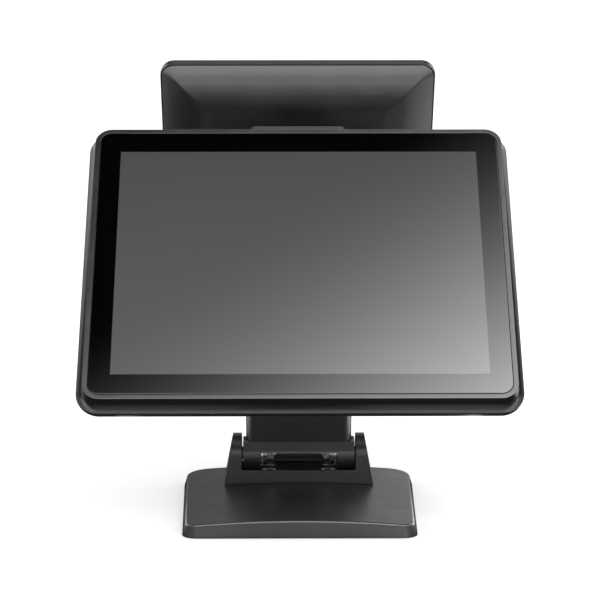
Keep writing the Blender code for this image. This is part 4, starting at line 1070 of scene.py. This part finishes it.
def table_ramp(tree):
    """A table lit from the front: dark under the object and brighter away from it."""
    place = node(tree, "VectorMath", {0: where(tree), 1: (1.1, 1, 1)}, operation="MULTIPLY").outputs["Vector"]
    distance = node(tree, "VectorMath", {0: place}, operation="LENGTH").outputs["Value"]
    return remap(tree, distance, 0.5, 1.7, 0.04, 10.0, interpolation_type="SMOOTHSTEP")


def backdrop_ramp(tree):
    """Brighter towards the right."""
    return remap(tree, coordinate(tree, "X"), -0.5, 0.5, 0.12, 0.92)


def softbox_ramp(tree):
    """Dim near the floor, brightest at the top, and brighter towards the right."""
    height = coordinate(tree, "Z")
    low, high = remap(tree, height, 0, 0.5, 0.4, 1.5), remap(tree, height, 0.65, 1.05, 0, 4.0)
    share = remap(tree, coordinate(tree, "X"), -0.6, 0.1, 0.4, 1.2)
    return times(tree, math_node(tree, "ADD", low, high), share)


def panel_ramp(low, high, top):
    """A side panel, dark near the floor and bright above."""
    return lambda tree: remap(tree, coordinate(tree, "Z"), low, high, 0.02, top)


def make_floor():
    made, tree, shader = blank("pale_floor", (0.93, 0.93, 0.93), 0.9, Specular_IOR_Level=0.0,
                               Emission_Color=(1, 1, 1, 1), Emission_Strength=0.32)
    tree.links.new(remap(tree, noise(tree, 3, 2), 0.3, 0.7, 0.88, 0.95), shader.inputs["Roughness"])
    bpy.ops.mesh.primitive_plane_add(size=80)
    floor = bpy.context.object
    floor.name = "floor"
    floor.data.materials.append(made)
    floor.visible_glossy = False


def make_cards():
    card("overhead", (-1.4, -1.8, STUDIO_TOP), (2.8, 0, 0), (0, 3.2, 0), 1.0, overhead_ramp)
    card("table", (-2.3, -2.3, -0.001), (4.6, 0, 0), (0, 4.5, 0), 1.0, table_ramp)
    card("backdrop", (-2.3, 2.2, 0), (4.6, 0, 0), (0, 0, STUDIO_TOP), 1.0, backdrop_ramp)
    card("softbox", (-1.5, -2.3, 0), (3.0, 0, 0), (0, 0, 1.2), 1.0, softbox_ramp)
    card("left_panel", (-0.6, -0.1, 0), (0, 1.4, 0), (0, 0, 0.9), 1.0, panel_ramp(0.27, 0.41, 2.0))
    card("right_panel", (0.6, -0.1, 0), (0, 1.4, 0), (0, 0, 0.9), 1.0, panel_ramp(0.34, 0.46, 2.4))
    card("left_strip", (-0.15, -0.11, 0.01), (0, 0.16, 0), (0, 0, 0.05), 3.5)
    card("right_strip", (0.15, -0.11, 0.01), (0, 0.16, 0), (0, 0, 0.05), 6.0)
    card("left_floor", (-0.58, 0.0, 0.001), (0.17, 0, 0), (0, 0.35, 0), 1.8)
    card("right_floor", (0.26, 0.0, 0.001), (0.32, 0, 0), (0, 0.35, 0), 3.2)
    card("front_left_strip", (-0.24, -0.5, 0.001), (0.19, 0, 0), (0, 0.28, 0), 0.6)
    card("front_right_strip", (0.05, -0.5, 0.001), (0.19, 0, 0), (0, 0.28, 0), 0.8)
    card("under_head", (-0.09, -0.065, 0.122), (0.18, 0, 0), (0, 0.05, 0), 1.1)
    card("above_head", (-0.15, 0.05, 0.348), (0.30, 0, 0), (0, 0, 0.05), 5.0)
    card("rear_overhead", (-0.5, 0.4, 1.3), (1.0, 0, 0), (0, 0.4, 0), 1.3)


def area_light(name, width, height, energy, place, target):
    """An area light at a place, turned towards a target."""
    light = bpy.data.lights.new(name, "AREA")
    light.shape = "RECTANGLE"
    light.size, light.size_y, light.energy = width, height, energy
    made = bpy.data.objects.new(name, light)
    bpy.context.scene.collection.objects.link(made)
    made.location = place
    made.rotation_euler = (Vector(target) - Vector(place)).to_track_quat("-Z", "Y").to_euler()
    return made


def make_studio():
    scene = bpy.context.scene
    scene.world = bpy.data.worlds.new("studio")
    scene.world.use_nodes = True
    background = scene.world.node_tree.nodes["Background"]
    background.inputs["Color"].default_value = (1, 1, 1, 1)
    background.inputs["Strength"].default_value = 1.0
    scene.view_settings.view_transform = "Standard"
    make_floor()
    make_cards()
    area_light("key", 1.2, 0.8, 14, (0.9, -1.6, 1.5), (0, 0, 0.15))
    fill = area_light("fill", 0.3, 0.04, 0.03, (0, -0.45, 0.05), (0, 0, 0.05))
    fill.data.spread = math.radians(24)
    fill.visible_glossy = False


def make_camera():
    """The photograph's view: 10 degrees down from the front, through a long lens."""
    lens = bpy.data.cameras.new("camera")
    lens.lens, lens.sensor_width, lens.shift_x = 136.08, 36.0, 0.8 / 600
    lens.clip_start, lens.clip_end = 0.05, 30.0
    made = bpy.data.objects.new("camera", lens)
    bpy.context.scene.collection.objects.link(made)
    made.location = (-0.016, -1.8835 + BASE.translation.y, 0.513)
    made.rotation_euler = (math.radians(80), 0, math.radians(-0.49))
    bpy.context.scene.camera = made


# -------- all


def finish_cad_nodes():
    """Gives every CAD node its slot's material."""
    for row in frame["record"]["subparts"]:
        mesh = frame["nodes"][row["node"]].data
        mesh.materials.clear()
        mesh.materials.append(FINISHES[row["material_slot"]])


finish_cad_nodes()
make_base()
make_pads()
make_base_plates()
make_saddle()
make_brackets()
make_neck()
make_spine()
make_hinge_sets()
make_glass()
make_bezel()
make_housing()
make_mount()
make_tray(make_ports())
make_button()
make_arm()
make_customer()
make_customer_hinge()
make_studio()
make_camera()
